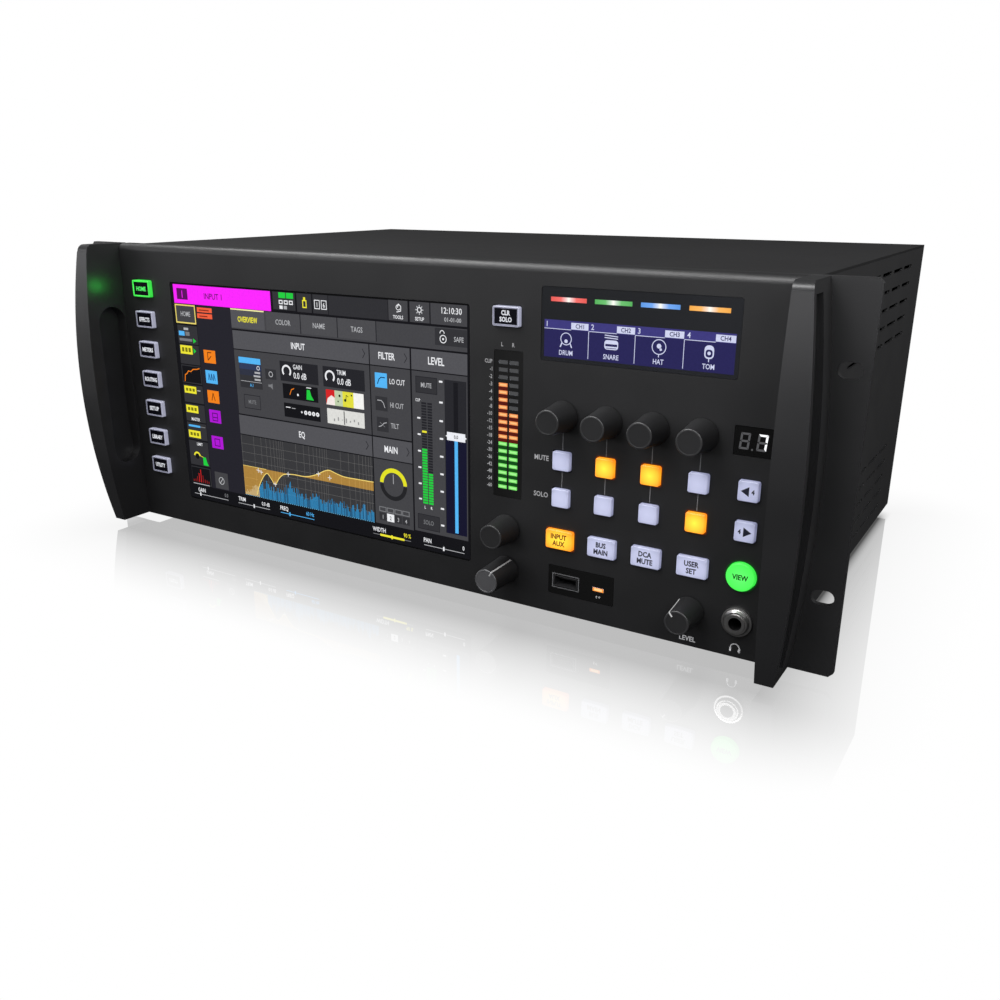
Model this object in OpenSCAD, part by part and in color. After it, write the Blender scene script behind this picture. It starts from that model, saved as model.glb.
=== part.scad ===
/* [Rack panel] */
// Overall width over the rack ears
rack_w = 482.6; // [482.6:482.6]
// Height of the four-unit front panel
panel_h = 177; // [176:0.5:178]
// Half width of the front panel between the two cheek handles
panel_hw = 212.1; // [211:0.1:213]
// Thickness of the front panel skin
panel_t = 3; // [2.5:0.1:3.1]
// Radius of the panel's rolled top edge
panel_r = 4; // [3:0.5:5]
// Depth of the flange along the panel's top and bottom edge
lip_d = 9; // [8:0.5:9]

/* [Case] */
// Half width of the sheet metal case
case_hw = 213.5; // [213:0.1:214.5]
// Depth from the panel face to the outside of the rear panel
case_d = 283.5; // [283.5:283.5]
// Thickness of the case side walls
wall_t = 1.3; // [1:0.1:1.3]
// Height of the feet under the case
foot_h = 5.8; // [4:0.1:8]
// Length of one ventilation slot
vent_l = 25; // [20:1:28]
// Height of one ventilation slot
vent_h = 2.2; // [1.6:0.1:3]

/* [Cheek handles] */
// Greatest stand-off of the handle's bowed front edge from the panel face
cheek_out = 29; // [27:0.5:31]
// Radius of the bow seen from the side
cheek_bow_r = 535; // [450:5:700]
// Greatest thickness of the handle
cheek_t = 14.7; // [13:0.1:14.9]
// Radius of the bow of the outer face
cheek_side_r = 645; // [600:5:800]
// Half height of the finger pocket
grip_h = 50.3; // [45:0.1:52]
// Width of the finger pocket
grip_w = 19.6; // [17:0.1:19.8]
// Depth of the groove down the outer side
groove_d = 3.5; // [2:0.1:4]
// Wall left between the groove and the finger pocket
grip_skin = 2.2; // [1.6:0.1:3]

/* [Rack mounting] */
// Sideways distance between the rack slots, centre to centre
slot_dx = 465.1; // [465.1:465.1]
// Height between the rack slots, centre to centre
slot_dz = 101.6; // [101.6:101.6]
// Length of a rack slot, end to end
slot_l = 10.3; // [10.3:10.3]
// Half width of a rack slot
slot_r = 3.5; // [3.5:3.5]
// Thickness of the rack ears
ear_t = 3; // [2.5:0.1:3]
// How far the back of an ear is relieved inboard of the rail strip
ear_relief = 0.3; // [0.2:0.1:0.5]
// Where the rail strip begins, from the centre
rail_x = 224.5; // [223:0.5:225]

/* [Controls] */
// Spacing of the four channel columns and the right-hand column
col_dx = 23.45; // [23.45:23.45]
// First channel column
col_x = 102.7; // [102.7:102.7]
// Side of the square buttons
sq = 9.5; // [9:0.1:9.8]
// How far the square, bank and round buttons stand out
key_out = 2; // [1.8:0.1:2.4]
// How far the menu buttons stand out
menu_out = 2.5; // [2.2:0.1:2.8]
// Gap round each button in the panel
key_gap = 0.3; // [0.25:0.05:0.4]
// Gap between a shaft and its bushing
run_gap = 0.05; // [0.02:0.01:0.08]
// Radius of the headphone socket
phones_r = 3.2; // [3.2:3.2]

/* [Hidden] */
$fn = 48;
eps = 0.01;
hp = panel_h / 2;            // half panel height
y_off = -129.25;              // puts the middle of the depth on the origin
z_off = 87.2 + foot_h;       // puts the feet on the floor
ear_y = panel_t + 0.2;       // front face of the ears
top_z = 87.3;                // outside of the top cover
bot_z = -87.2;               // outside of the case bottom
cheek_x = panel_hw + 0.2;    // inner face of a cheek
scr_c = [-60.2, -1.9];       // centre of the touch screen
scr = [217, 137.3];
dsp_c = [138.1, 60.35];      // centre of the channel display window
dsp = [97.4, 34.9];
met_c = [71.25, 7.7];        // centre of the level meter
met = [16.5, 75.8];
dig_c = [196.4, 16.3];       // centre of the two-digit display
dig = [17.5, 13.3];
usb_c = [114.9, -69.8];      // centre of the USB plate
usb = [36.6, 15.6];
port_c = [106.3, -70.1];     // centre of the USB socket
row_mute = -6;
row_solo = -25.15;
row_bank = -47.2;
row_low = -70;
row_enc = 16.5;
col5 = col_x + 4 * col_dx;   // right-hand column
meter_col = 71.2;
menu_x = -192.6;
menu_z = [for (i = [0:6]) 61.75 - 18.9 * i];
led_z = [for (i = [0:17]) 39.7 - 3.8 * i];
bar_x = [for (i = [0:3]) 103.5 + 22.85 * i];
xlr_x = [for (i = [0:7]) -193 + 31 * i];
net_x = [for (i = [0:3]) -190 + 24 * i];
fan_c = [140, 34];
pwr_c = [166, -52];
iec_x = 154.5;
rock_x = 184.5;
rock_y = 278.5;                // rocker pivot
vent_rows = [for (s = [-1, 1]) for (i = [0:4]) s * (36.4 + 10.1 * i)];
vent_cols = [for (i = [0:4]) 219 - 31.6 * i];
rear_screws = [for (x = [-200, -70, 70, 200]) for (z = [-80, 80]) [x, z]];
ear_screws = [for (s = [-1, 1]) for (z = [-68, 68]) [s * 217.6, z]];
side_screws = [for (s = [-1, 1]) for (z = [-60, 60]) [s, 18, z]];

// ---- helpers ----
module put() translate([0, y_off, z_off]) children();
// extrude an XZ outline along Y from a to b
module ey(a, b) translate([0, b, 0]) rotate([90, 0, 0]) linear_extrude(b - a) children();
// extrude a YZ outline along X from a to b
module ex(a, b) translate([a, 0, 0]) rotate([90, 0, 90]) linear_extrude(b - a) children();
module rr(w, h, r) {
  square([w - 2 * r, h], center = true);
  square([w, h - 2 * r], center = true);
  for (i = [-1, 1]) for (j = [-1, 1]) translate([i * (w / 2 - r), j * (h / 2 - r)]) circle(r);
}
module slot2(l, r) {
  square([l - 2 * r, 2 * r], center = true);
  for (i = [-1, 1]) translate([i * (l / 2 - r), 0]) circle(r);
}
module rod(x, z, r, a, b) translate([x, b, z]) rotate([90, 0, 0]) cylinder(r = r, h = b - a);
module at(p) translate([p[0], p[1]]) children();

// every key: position, width, height
function keys() = concat(
  [for (z = menu_z) [menu_x, z, 15, 10]],
  [[70.7, 62.5, 14.8, 9.6]],
  [for (i = [0:3]) for (z = [row_mute, row_solo]) [col_x + i * col_dx, z, sq, sq]],
  [for (i = [0:3]) [col_x + i * col_dx, row_bank, 15, 10]],
  [for (z = [row_mute, row_solo]) [col5, z, sq, sq]]);
knobs = [[col_x, row_enc], [col_x + col_dx, row_enc], [col_x + 2 * col_dx, row_enc], [col_x + 3 * col_dx, row_enc],
  [meter_col, row_bank], [meter_col, row_low], [col_x + 3 * col_dx, row_low]];

// ---- fixed pieces ----
// front panel: flat skin with a rolled top edge, a flange top and bottom, and all its windows
module front_panel() color([0.05, 0.05, 0.055]) put() difference() {
  ex(-panel_hw, panel_hw) union() {
    translate([0, -hp]) square([panel_t, panel_h - 0.2 - panel_r]);
    translate([panel_r, hp - 0.2 - panel_r]) circle(panel_r, $fn = 64);
    translate([panel_r, hp - 0.2 - panel_r]) square([lip_d - panel_r, panel_r]);
    translate([0, -hp]) square([6.2, 2.5]);
  }
  translate([-panel_hw - 1, panel_t, hp - 12.7]) cube([2 * panel_hw + 2, lip_d, 10]);
  ey(-1, 4) at(scr_c) rr(scr[0] + 0.4, scr[1] + 0.4, 1.5);
  ey(-1, 4) at(dsp_c) rr(dsp[0] + 0.3, dsp[1] + 0.3, 1.2);
  ey(-1, 4) at(met_c) rr(met[0] + 0.3, met[1] + 0.3, 0.8);
  ey(-1, 4) at(dig_c) rr(dig[0] + 0.3, dig[1] + 0.3, 0.5);
  ey(-1, 4) at(usb_c) rr(usb[0] + 0.3, usb[1] + 0.3, 0.8);
  for (k = keys()) ey(-1, 4) translate([k[0], k[1]]) rr(k[2] + 2 * key_gap, k[3] + 2 * key_gap, 1.1);
  rod(col5, row_bank, 6.85 + key_gap, -1, 4);
  for (k = knobs) rod(k[0], k[1], 3.6, -1, 4);
  rod(col5, row_low, 4.6, -1, 4);
}

// top cover: flat sheet with a folded rear edge
module top_cover() color([0.06, 0.06, 0.062]) put() union() {
  translate([-case_hw, lip_d + 0.2, top_z - 1.2]) cube([2 * case_hw, case_d - lip_d - 0.2, 1.2]);
  for (s = [-1, 1]) translate([s * 209.5 - 1, 40, top_z - 8]) cube([2, 220, 7]);
  for (p = rear_screws) if (p[1] > 0) difference() {
    translate([p[0] - 5, case_d - 8, 75.5]) cube([10, 6.3, top_z - 76]);
    rod(p[0], p[1], 1.6, case_d - 9, case_d, $fn = 24);
  }
}

// case tray: bottom and two side walls with two banks of ventilation slots
module chassis_tray() color([0.055, 0.055, 0.058]) put() difference() {
  union() {
    translate([-case_hw, ear_y + ear_t + 0.2, bot_z]) cube([2 * case_hw, case_d - ear_y - ear_t - 0.2, 1.2]);
    for (s = [0, 1]) mirror([s, 0, 0])
      translate([case_hw - wall_t, ear_y + ear_t + 0.2, bot_z]) cube([wall_t, case_d - ear_y - ear_t - 0.2, top_z - bot_z - 1.3]);
    for (p = rear_screws) if (p[1] < 0) difference() {
      translate([p[0] - 5, case_d - 8, bot_z + 1]) cube([10, 6.3, 11]);
      rod(p[0], p[1], 1.6, case_d - 9, case_d, $fn = 24);
    }
  }
  for (r = vent_rows) for (c = vent_cols)
    ex(-case_hw - 1, case_hw + 1) translate([c + vent_l / 2, r]) slot2(vent_l, vent_h / 2, $fn = 24);
  for (p = side_screws) translate([0, p[1], p[2]]) rotate([0, 90, 0]) cylinder(r = 1.6, h = 2 * case_hw + 2, center = true, $fn = 24);
}

// rear panel with its cut-outs and the fan grille
module rear_panel() color([0.06, 0.06, 0.062]) put() difference() {
  translate([-211.8, case_d - 1.5, -85.9]) cube([423.6, 1.5, 171.8]);
  for (x = xlr_x) for (z = [60, 24, -12]) rod(x, z, 12, case_d - 3, case_d + 1);
  for (x = net_x) translate([x - 7.9, case_d - 3, -52 - 6.9]) cube([15.8, 5, 13.8]);
  translate([iec_x - 14, case_d - 3, pwr_c[1] - 10.5]) cube([28, 5, 21]);
  translate([rock_x - 8.5, case_d - 3, pwr_c[1] - 12.5]) cube([17, 5, 25]);
  for (k = [-4:4]) ey(case_d - 3, case_d + 1) translate([fan_c[0], fan_c[1] + k * 8]) slot2(2 * sqrt(37 * 37 - k * k * 64), 1.9, $fn = 32);
  for (p = rear_screws) rod(p[0], p[1], 1.6, case_d - 3, case_d + 1, $fn = 24);
}

// bowed handle plate with a blind finger pocket on the inner side and a long groove down the outer side
module side_bow(inset) translate([panel_hw + cheek_t - cheek_side_r, 50, -2]) rotate([90, 0, 0]) cylinder(r = cheek_side_r - inset, h = 100, $fn = 720);
module cheek_shape() difference() {
  intersection() {
    translate([cheek_x, -cheek_out - 1, -hp]) cube([20, cheek_out + 1 + panel_t + 0.1, panel_h - 0.2]);
    translate([cheek_x - 1, cheek_bow_r - cheek_out, 8]) rotate([0, 90, 0]) cylinder(r = cheek_bow_r, h = 30, $fn = 720);
    side_bow(0);
    // rounded upper front corner
    union() {
      translate([cheek_x - 1, -cheek_out - 2, -hp - 1]) cube([30, 60, panel_h - 0.2 + 1 - panel_r]);
      translate([cheek_x - 1, -23.2 + panel_r, -hp]) cube([30, 60, panel_h - 0.2]);
      translate([cheek_x - 1, -23.2 + panel_r, hp - 0.2 - panel_r]) rotate([0, 90, 0]) cylinder(r = panel_r, h = 30, $fn = 48);
    }
  }
  intersection() {
    ex(cheek_x - 2, cheek_x + 22) translate([-0.9 - grip_w / 2, 0]) rotate(90) slot2(2 * grip_h, grip_w / 2, $fn = 64);
    side_bow(groove_d + grip_skin);
  }
  difference() {
    intersection() {
      translate([cheek_x + 1, -cheek_out, -83]) cube([20, cheek_out - 9.5, 166]);
      translate([cheek_x, cheek_bow_r - cheek_out, 8]) rotate([0, 90, 0]) cylinder(r = cheek_bow_r - 3.4, h = 30, $fn = 720);
    }
    side_bow(groove_d);
  }
  for (p = ear_screws) if (p[0] > 0) rod(p[0], p[1], 2.1, -6, 10, $fn = 24);
}
module cheek_right() color([0.04, 0.04, 0.045]) put() cheek_shape();
module cheek_left() color([0.04, 0.04, 0.045]) put() mirror([1, 0, 0]) cheek_shape();

// rack ears: plate with two slots, a tab behind the panel and a flange inside the case; the back is relieved
// inboard of the strip that meets the rack rail
module ear_plate() translate([(cheek_x + rack_w / 2) / 2, 0]) difference() {
  square([rack_w / 2 - cheek_x, panel_h], center = true);
  for (j = [-1, 1]) translate([(rack_w / 2 - cheek_x) / 2, j * hp]) rotate(45) square([3, 3], center = true);
}
module ear() difference() {
  union() {
    ey(ear_y, ear_y + ear_t - ear_relief) ear_plate();
    ey(ear_y, ear_y + ear_t) intersection() { ear_plate(); translate([rail_x, -100]) square([20, 200]); }
    translate([206, ear_y, -84]) cube([cheek_x - 206 + 1, ear_t - ear_relief, 168]);
    translate([208.8, ear_y, -80]) cube([3, 24, 160]);
  }
  for (j = [-1, 1]) ey(0, 10) translate([slot_dx / 2, j * slot_dz / 2]) slot2(slot_l, slot_r);
  for (p = ear_screws) if (p[0] > 0) rod(p[0], p[1], 2.2, 0, 10, $fn = 24);
  for (p = side_screws) translate([200, p[1], p[2]]) rotate([0, 90, 0]) cylinder(r = 1.6, h = 20, $fn = 24);
}
module rack_ears() color([0.045, 0.045, 0.05]) put() { ear(); mirror([1, 0, 0]) ear(); }

// touch glass over the main screen
module touch_glass() color([0.02, 0.02, 0.025]) put() ey(0.2, 3.1) at(scr_c) rr(scr[0], scr[1], 1.4);
// the two screens behind their windows
module lcd_modules() color([0.1, 0.1, 0.13]) put() {
  translate([scr_c[0] - 111, panel_t + 0.2, scr_c[1] - 71]) cube([222, 6, 142]);
  translate([dsp_c[0] - 50, panel_t + 0.2, 42]) cube([100, 3, 22]);
}
// dark window over the channel display, with four light bar openings
module display_window() color([0.03, 0.03, 0.035]) put() difference() {
  ey(0.2, 2.2) at(dsp_c) rr(dsp[0], dsp[1], 1.1);
  for (x = bar_x) translate([x - 9.4, -1, 71.0]) cube([18.8, 4, 2.2]);
}
// light pipes: four colour bars and the small lamp beside the USB socket
module light_bars() color([0.9, 0.6, 0.5]) put() {
  for (x = bar_x) translate([x - 9.35, 0.3, 71.05]) cube([18.7, 11.4, 2.1]);
  translate([124.85 - 3, -0.1, -71.2]) cube([6, 11.8, 2]);
}
// black mask of the level meter with 36 small windows
module meter_mask() color([0.03, 0.03, 0.03]) put() difference() {
  ey(0.2, 2.2) at(met_c) rr(met[0], met[1], 0.7);
  for (z = led_z) for (x = [68.1, 74.3]) translate([x - 2.6, -1, z - 1]) cube([5.2, 5, 2]);
}
module meter_leds() color([0.6, 0.9, 0.4]) put() {
  for (z = led_z) for (x = [68.1, 74.3]) translate([x - 2.55, 0.35, z - 0.95]) cube([5.1, 11.4, 1.9]);
}
// two-digit display block
module digit_display() color([0.05, 0.05, 0.05]) put() union() {
  ey(0.25, 3.5) at(dig_c) rr(dig[0], dig[1], 0.4);
  translate([dig_c[0] - 8.5, 3.4, dig_c[1] - 6.4]) cube([17, 8.3, 12.8]);
}
// glossy plate round the USB socket
module usb_plate() color([0.02, 0.02, 0.02]) put() difference() {
  ey(0.1, 2.4) at(usb_c) rr(usb[0], usb[1], 0.7);
  translate([port_c[0] - 6.7, -1, port_c[1] - 3]) cube([13.4, 5, 6]);
  translate([124.85 - 3.05, -1, -71.25]) cube([6.1, 5, 2.1]);
}
// USB socket: metal shell with a tongue
module usb_socket() color([0.6, 0.6, 0.62]) put() union() {
  difference() {
    translate([port_c[0] - 6.6, -0.3, port_c[1] - 2.9]) cube([13.2, 15, 5.8]);
    translate([port_c[0] - 6.2, -1, port_c[1] - 2.5]) cube([12.4, 14.7, 5]);
  }
  translate([port_c[0] - 5.6, 3.2, port_c[1] + 0.2]) cube([11.2, 10.9, 1.8]);
}
// headphone socket barrel and its dress nut
module phones_jack() color([0.65, 0.65, 0.67]) put() difference() {
  union() {
    rod(col5, row_low, 4.5, -3.6, 12);
    translate([col5 - 7.5, 4, row_low - 7.5]) cube([15, 7.8, 15]);
  }
  rod(col5, row_low, phones_r, -5, 10.6);
}
module phones_nut() color([0.75, 0.75, 0.77]) put() translate([col5, 0, row_low]) rotate([90, 0, 0]) rotate_extrude($fn = 64)
  polygon([[4.55, 0.05], [7.2, 0.05], [7.2, 1.2], [6.3, 1.3], [6.1, 2.2], [5.5, 3.0], [4.55, 3.0]]);
// bodies and bushings of the rotary controls
module rotary_bodies() color([0.5, 0.5, 0.52]) put() for (k = knobs) difference() {
  union() {
    rod(k[0], k[1], 3.5, 0.8, 6.2);
    translate([k[0] - 6, 6, k[1] - 6]) cube([12, 5.8, 12]);
  }
  rod(k[0], k[1], 3, -1, 10.5);
}
// control boards behind the panel with their key switches, and the main board
module circuit_boards() color([0.05, 0.25, 0.12]) put() {
  union() {
    translate([menu_x - 9, 12, -66]) cube([18, 1.6, 142]);
    for (z = menu_z) translate([menu_x - 3, 11.6, z - 3]) cube([6, 1, 6]);
  }
  difference() {
    union() {
      translate([58, 12, -84]) cube([149, 1.6, 160]);
      for (k = keys()) if (k[0] > 0) translate([k[0] - 3, 11.6, k[1] - 3]) cube([6, 1, 6]);
      translate([col5 - 3, 11.6, row_bank - 3]) cube([6, 1, 6]);
    }
    translate([port_c[0] - 7, 11, port_c[1] - 3.3]) cube([14, 5, 6.6]);
    rod(col5, row_low, 4.8, 11, 15);
  }
  union() {
    translate([-200, 30, -78]) cube([280, 220, 1.6]);
    for (i = [0:3]) translate([-180 + i * 62, 70, -76.5]) cube([34, 34, 3.5]);
    for (i = [0:2]) translate([-170 + i * 60, 140, -76.5]) cube([24, 40, 22]);
    for (i = [0:7]) translate([-185 + i * 31, 215, -76.5]) cube([14, 20, 9]);
    for (x = [-190, -60, 70]) for (y = [40, 240]) translate([x, y, -86]) cylinder(r = 3, h = 8.2, $fn = 24);
  }
}
module power_supply() color([0.55, 0.56, 0.58]) put() {
  translate([92, 110, -85.9]) cube([112, 120, 44]);
}
// female signal sockets, two rows of eight
module xlr_in() difference() {
  union() {
    ey(case_d, case_d + 1.6) rr(26, 31, 1.5);
    rod(0, 0, 11.8, 263, case_d + 0.5);
    translate([-3, case_d + 1.5, 11]) cube([6, 2.5, 3.5]);
  }
  difference() { rod(0, 0, 9.6, 269, case_d + 3); rod(0, 0, 8.1, 268, case_d + 1.2); }
  for (a = [-130, 130, 0]) rotate([0, a, 0]) rod(0, -4.6, 1.3, 270, case_d + 3, $fn = 24);
}
module xlr_inputs() color([0.08, 0.08, 0.085]) put() for (x = xlr_x) for (z = [60, 24]) translate([x, 0, z]) xlr_in();
// male signal sockets, one row of eight
module xlr_out() union() {
  difference() {
    union() {
      ey(case_d, case_d + 1.6) rr(26, 31, 1.5);
      rod(0, 0, 11.8, 263, case_d + 0.5);
    }
    rod(0, 0, 9.4, 267, case_d + 3);
  }
  for (a = [-130, 130, 0]) rotate([0, a, 0]) rod(0, -4.6, 1.2, 266, 277, $fn = 24);
}
module xlr_outputs() color([0.1, 0.1, 0.105]) put() for (x = xlr_x) translate([x, 0, -12]) xlr_out();
// mains inlet with three blades, and the housing of the power switch
module power_inlet() color([0.05, 0.05, 0.05]) put() union() {
  difference() {
    union() {
      ey(case_d, case_d + 2) at(pwr_c) rr(60, 29, 3);
      translate([iec_x - 13.8, 262, pwr_c[1] - 10.3]) cube([27.6, case_d - 261.5, 20.6]);
      translate([rock_x - 8.3, 262, pwr_c[1] - 12.3]) cube([16.6, case_d - 261.5, 24.6]);
    }
    ey(265, case_d + 3) translate([iec_x, pwr_c[1]]) polygon([[-12.2, -8.1], [12.2, -8.1], [12.2, 4], [8, 8.2], [-8, 8.2], [-12.2, 4]]);
    translate([rock_x - 6.6, 265, pwr_c[1] - 10.6]) cube([13.2, 30, 21.2]);
    translate([rock_x - 7.6, rock_y, pwr_c[1]]) rotate([0, 90, 0]) cylinder(r = 1.2 + run_gap, h = 15.2, $fn = 32);
  }
  for (p = [[-7, -2.5], [7, -2.5], [0, 1.8]]) translate([iec_x + p[0] - 1, 264, pwr_c[1] + p[1] - 2]) cube([2, 13, 4]);
}
module network_sockets() color([0.6, 0.6, 0.62]) put() for (x = net_x) difference() {
  translate([x - 7.7, 262, -52 - 6.7]) cube([15.4, case_d - 261.6, 13.4]);
  translate([x - 6, 266, -52 - 4.2]) cube([12, 30, 8.4]);
}
// fan frame with a hub on three struts
module fan_frame() color([0.07, 0.07, 0.07]) put() difference() {
  union() {
    difference() {
      translate([fan_c[0] - 40, 256.8, fan_c[1] - 40]) cube([80, 25, 80]);
      rod(fan_c[0], fan_c[1], 38.6, 250, 290);
    }
    rod(fan_c[0], fan_c[1], 15, 256.8, 260.5);
    for (a = [90, 210, 330]) translate([fan_c[0], 0, fan_c[1]]) rotate([0, a, 0]) translate([12, 256.8, -2.5]) cube([28, 3.2, 5]);
  }
  rod(fan_c[0], fan_c[1], 1.5 + run_gap, 250, 264, $fn = 32);
}
module feet() color([0.02, 0.02, 0.02]) put() for (x = [-180, 180]) for (y = [35, 250])
  translate([x, y, bot_z - foot_h]) union() { cylinder(r1 = 8.4, r2 = 9.4, h = 2.4); translate([0, 0, 2.4]) cylinder(r = 9.4, h = foot_h - 2.4); }
// screws: rear edge, cheek to ear, ear flange to case
module screws() color([0.12, 0.12, 0.12]) put() {
  for (p = rear_screws) union() { rod(p[0], p[1], 1.5, case_d - 6, case_d + 0.1, $fn = 24); rod(p[0], p[1], 2.9, case_d, case_d + 1.7, $fn = 32); }
  for (p = ear_screws) union() { rod(p[0], p[1], 2, -5, ear_y + ear_t, $fn = 24); rod(p[0], p[1], 4, ear_y + ear_t - ear_relief, ear_y + ear_t + 2.2, $fn = 32); }
  for (p = side_screws) mirror([p[0] < 0 ? 1 : 0, 0, 0]) translate([0, p[1], p[2]]) rotate([0, 90, 0]) union() {
    translate([0, 0, 206]) cylinder(r = 1.5, h = case_hw - 206 + 0.1, $fn = 24);
    translate([0, 0, case_hw]) cylinder(r = 2.9, h = 1.5, $fn = 32);
  }
}

// ---- moving pieces ----
module fan_rotor() color([0.06, 0.06, 0.06]) put() translate([fan_c[0], 0, fan_c[1]]) union() {
  rod(0, 0, 1.5, 257.2, 263, $fn = 32);
  rod(0, 0, 17.5, 261.5, 279);
  for (a = [0:6]) rotate([0, a * 360 / 7, 0]) translate([16.5, 270.3, 0]) rotate([38, 0, 0]) translate([0, -9, -0.8]) cube([20.4, 18, 1.6]);
}
// rocker of the power switch, resting with its upper half pressed in
module power_rocker() color([0.1, 0.1, 0.1]) put() translate([rock_x, rock_y, pwr_c[1]]) union() {
  intersection() {
    translate([-6.2, 0, 0]) rotate([0, 90, 0]) cylinder(r = 10.2, h = 12.4, $fn = 64);
    ex(-6.2, 6.2) polygon([[-4, -7], [-4, 7], [3.2, 10.2], [4.4, 9.6], [5.2, 0], [8.3, -9.6], [7, -10.2]]);
  }
  translate([-7.4, 0, 0]) rotate([0, 90, 0]) cylinder(r = 1.2, h = 14.8, $fn = 32);
}
// turned knob on its shaft: base radius, face radius, height
module knob(p, r1, r2, h) put() translate([p[0], 0, p[1]]) union() {
  rotate([90, 0, 0]) rotate_extrude($fn = 64) polygon([[0, 0.7], [r1, 0.7], [r1, 1.6], [r2, h - 0.7], [r2 - 0.7, h], [0, h]]);
  rod(0, 0, 3 - run_gap, -1, 9.8);
}
module encoder_1() color([0.05, 0.05, 0.05]) knob(knobs[0], 7.8, 6.3, 17.4);
module encoder_2() color([0.05, 0.05, 0.05]) knob(knobs[1], 7.8, 6.3, 17.4);
module encoder_3() color([0.05, 0.05, 0.05]) knob(knobs[2], 7.8, 6.3, 17.4);
module encoder_4() color([0.05, 0.05, 0.05]) knob(knobs[3], 7.8, 6.3, 17.4);
module monitor_encoder() color([0.05, 0.05, 0.05]) knob(knobs[4], 7.8, 6.5, 16.8);
module monitor_level_knob() color([0.05, 0.05, 0.05]) knob(knobs[5], 7.4, 6.6, 21.2);
module phones_level_knob() color([0.05, 0.05, 0.05]) knob(knobs[6], 7.4, 6.2, 17.2);

// rectangular key: cap, retaining flange and plunger; inset is the depth of a recess for the legend
module key(x, z, w, h, out, inset) put() translate([x, 0, z]) difference() {
  union() {
    ey(-out, 3.6) rr(w, h, 0.8);
    ey(panel_t + 0.3, panel_t + 1.5) rr(w + 2.4, h + 2.4, 0.8);
    rod(0, 0, 1.6, 4, 10.4, $fn = 24);
  }
  if (inset > 0) ey(-out - 1, -out + inset) rr(w - 2.2, h - 2.2, 0.4);
}
module menu(i) color([0.78, 0.78, 0.82]) key(menu_x, menu_z[i], 15, 10, menu_out, 0.3);
module menu_button_1() menu(0);
module menu_button_2() menu(1);
module menu_button_3() menu(2);
module menu_button_4() menu(3);
module menu_button_5() menu(4);
module menu_button_6() menu(5);
module menu_button_7() menu(6);
module clear_solo_button() color([0.78, 0.78, 0.82]) key(70.7, 62.5, 14.8, 9.6, menu_out, 0.3);
module view_button() color([0.3, 0.9, 0.3]) put() translate([col5, 0, row_bank]) union() {
  rod(0, 0, 6.85, -key_out, 3.6);
  rod(0, 0, 8, panel_t + 0.3, panel_t + 1.5);
  rod(0, 0, 1.6, 4, 10.4, $fn = 24);
}
module prev_button() color([0.8, 0.8, 0.85]) key(col5, row_mute, sq, sq, key_out, 0);
module next_button() color([0.8, 0.8, 0.85]) key(col5, row_solo, sq, sq, key_out, 0);
module bank(i) key(col_x + i * col_dx, row_bank, 15, 10, key_out, 0);
module bank_button_1() color([0.95, 0.6, 0.2]) bank(0);
module bank_button_2() color([0.8, 0.8, 0.85]) bank(1);
module bank_button_3() color([0.8, 0.8, 0.85]) bank(2);
module bank_button_4() color([0.8, 0.8, 0.85]) bank(3);
module square_key(i, z) key(col_x + i * col_dx, z, sq, sq, key_out, 0);
module mute_button_1() color([0.8, 0.8, 0.85]) square_key(0, row_mute);
module mute_button_2() color([0.95, 0.6, 0.2]) square_key(1, row_mute);
module mute_button_3() color([0.95, 0.6, 0.2]) square_key(2, row_mute);
module mute_button_4() color([0.8, 0.8, 0.85]) square_key(3, row_mute);
module solo_button_1() color([0.8, 0.8, 0.85]) square_key(0, row_solo);
module solo_button_2() color([0.8, 0.8, 0.85]) square_key(1, row_solo);
module solo_button_3() color([0.8, 0.8, 0.85]) square_key(2, row_solo);
module solo_button_4() color([0.95, 0.6, 0.2]) square_key(3, row_solo);

front_panel();
top_cover();
chassis_tray();
rear_panel();
cheek_left();
cheek_right();
rack_ears();
touch_glass();
lcd_modules();
display_window();
light_bars();
meter_mask();
meter_leds();
digit_display();
usb_plate();
usb_socket();
phones_jack();
phones_nut();
rotary_bodies();
circuit_boards();
power_supply();
xlr_inputs();
xlr_outputs();
power_inlet();
network_sockets();
fan_frame();
feet();
screws();
fan_rotor();
power_rocker();
encoder_1();
encoder_2();
encoder_3();
encoder_4();
monitor_encoder();
monitor_level_knob();
phones_level_knob();
menu_button_1();
menu_button_2();
menu_button_3();
menu_button_4();
menu_button_5();
menu_button_6();
menu_button_7();
clear_solo_button();
view_button();
prev_button();
next_button();
bank_button_1();
bank_button_2();
bank_button_3();
bank_button_4();
mute_button_1();
mute_button_2();
mute_button_3();
mute_button_4();
solo_button_1();
solo_button_2();
solo_button_3();
solo_button_4();
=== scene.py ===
import bpy, bmesh, math, random
from mathutils import Vector, Matrix


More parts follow.
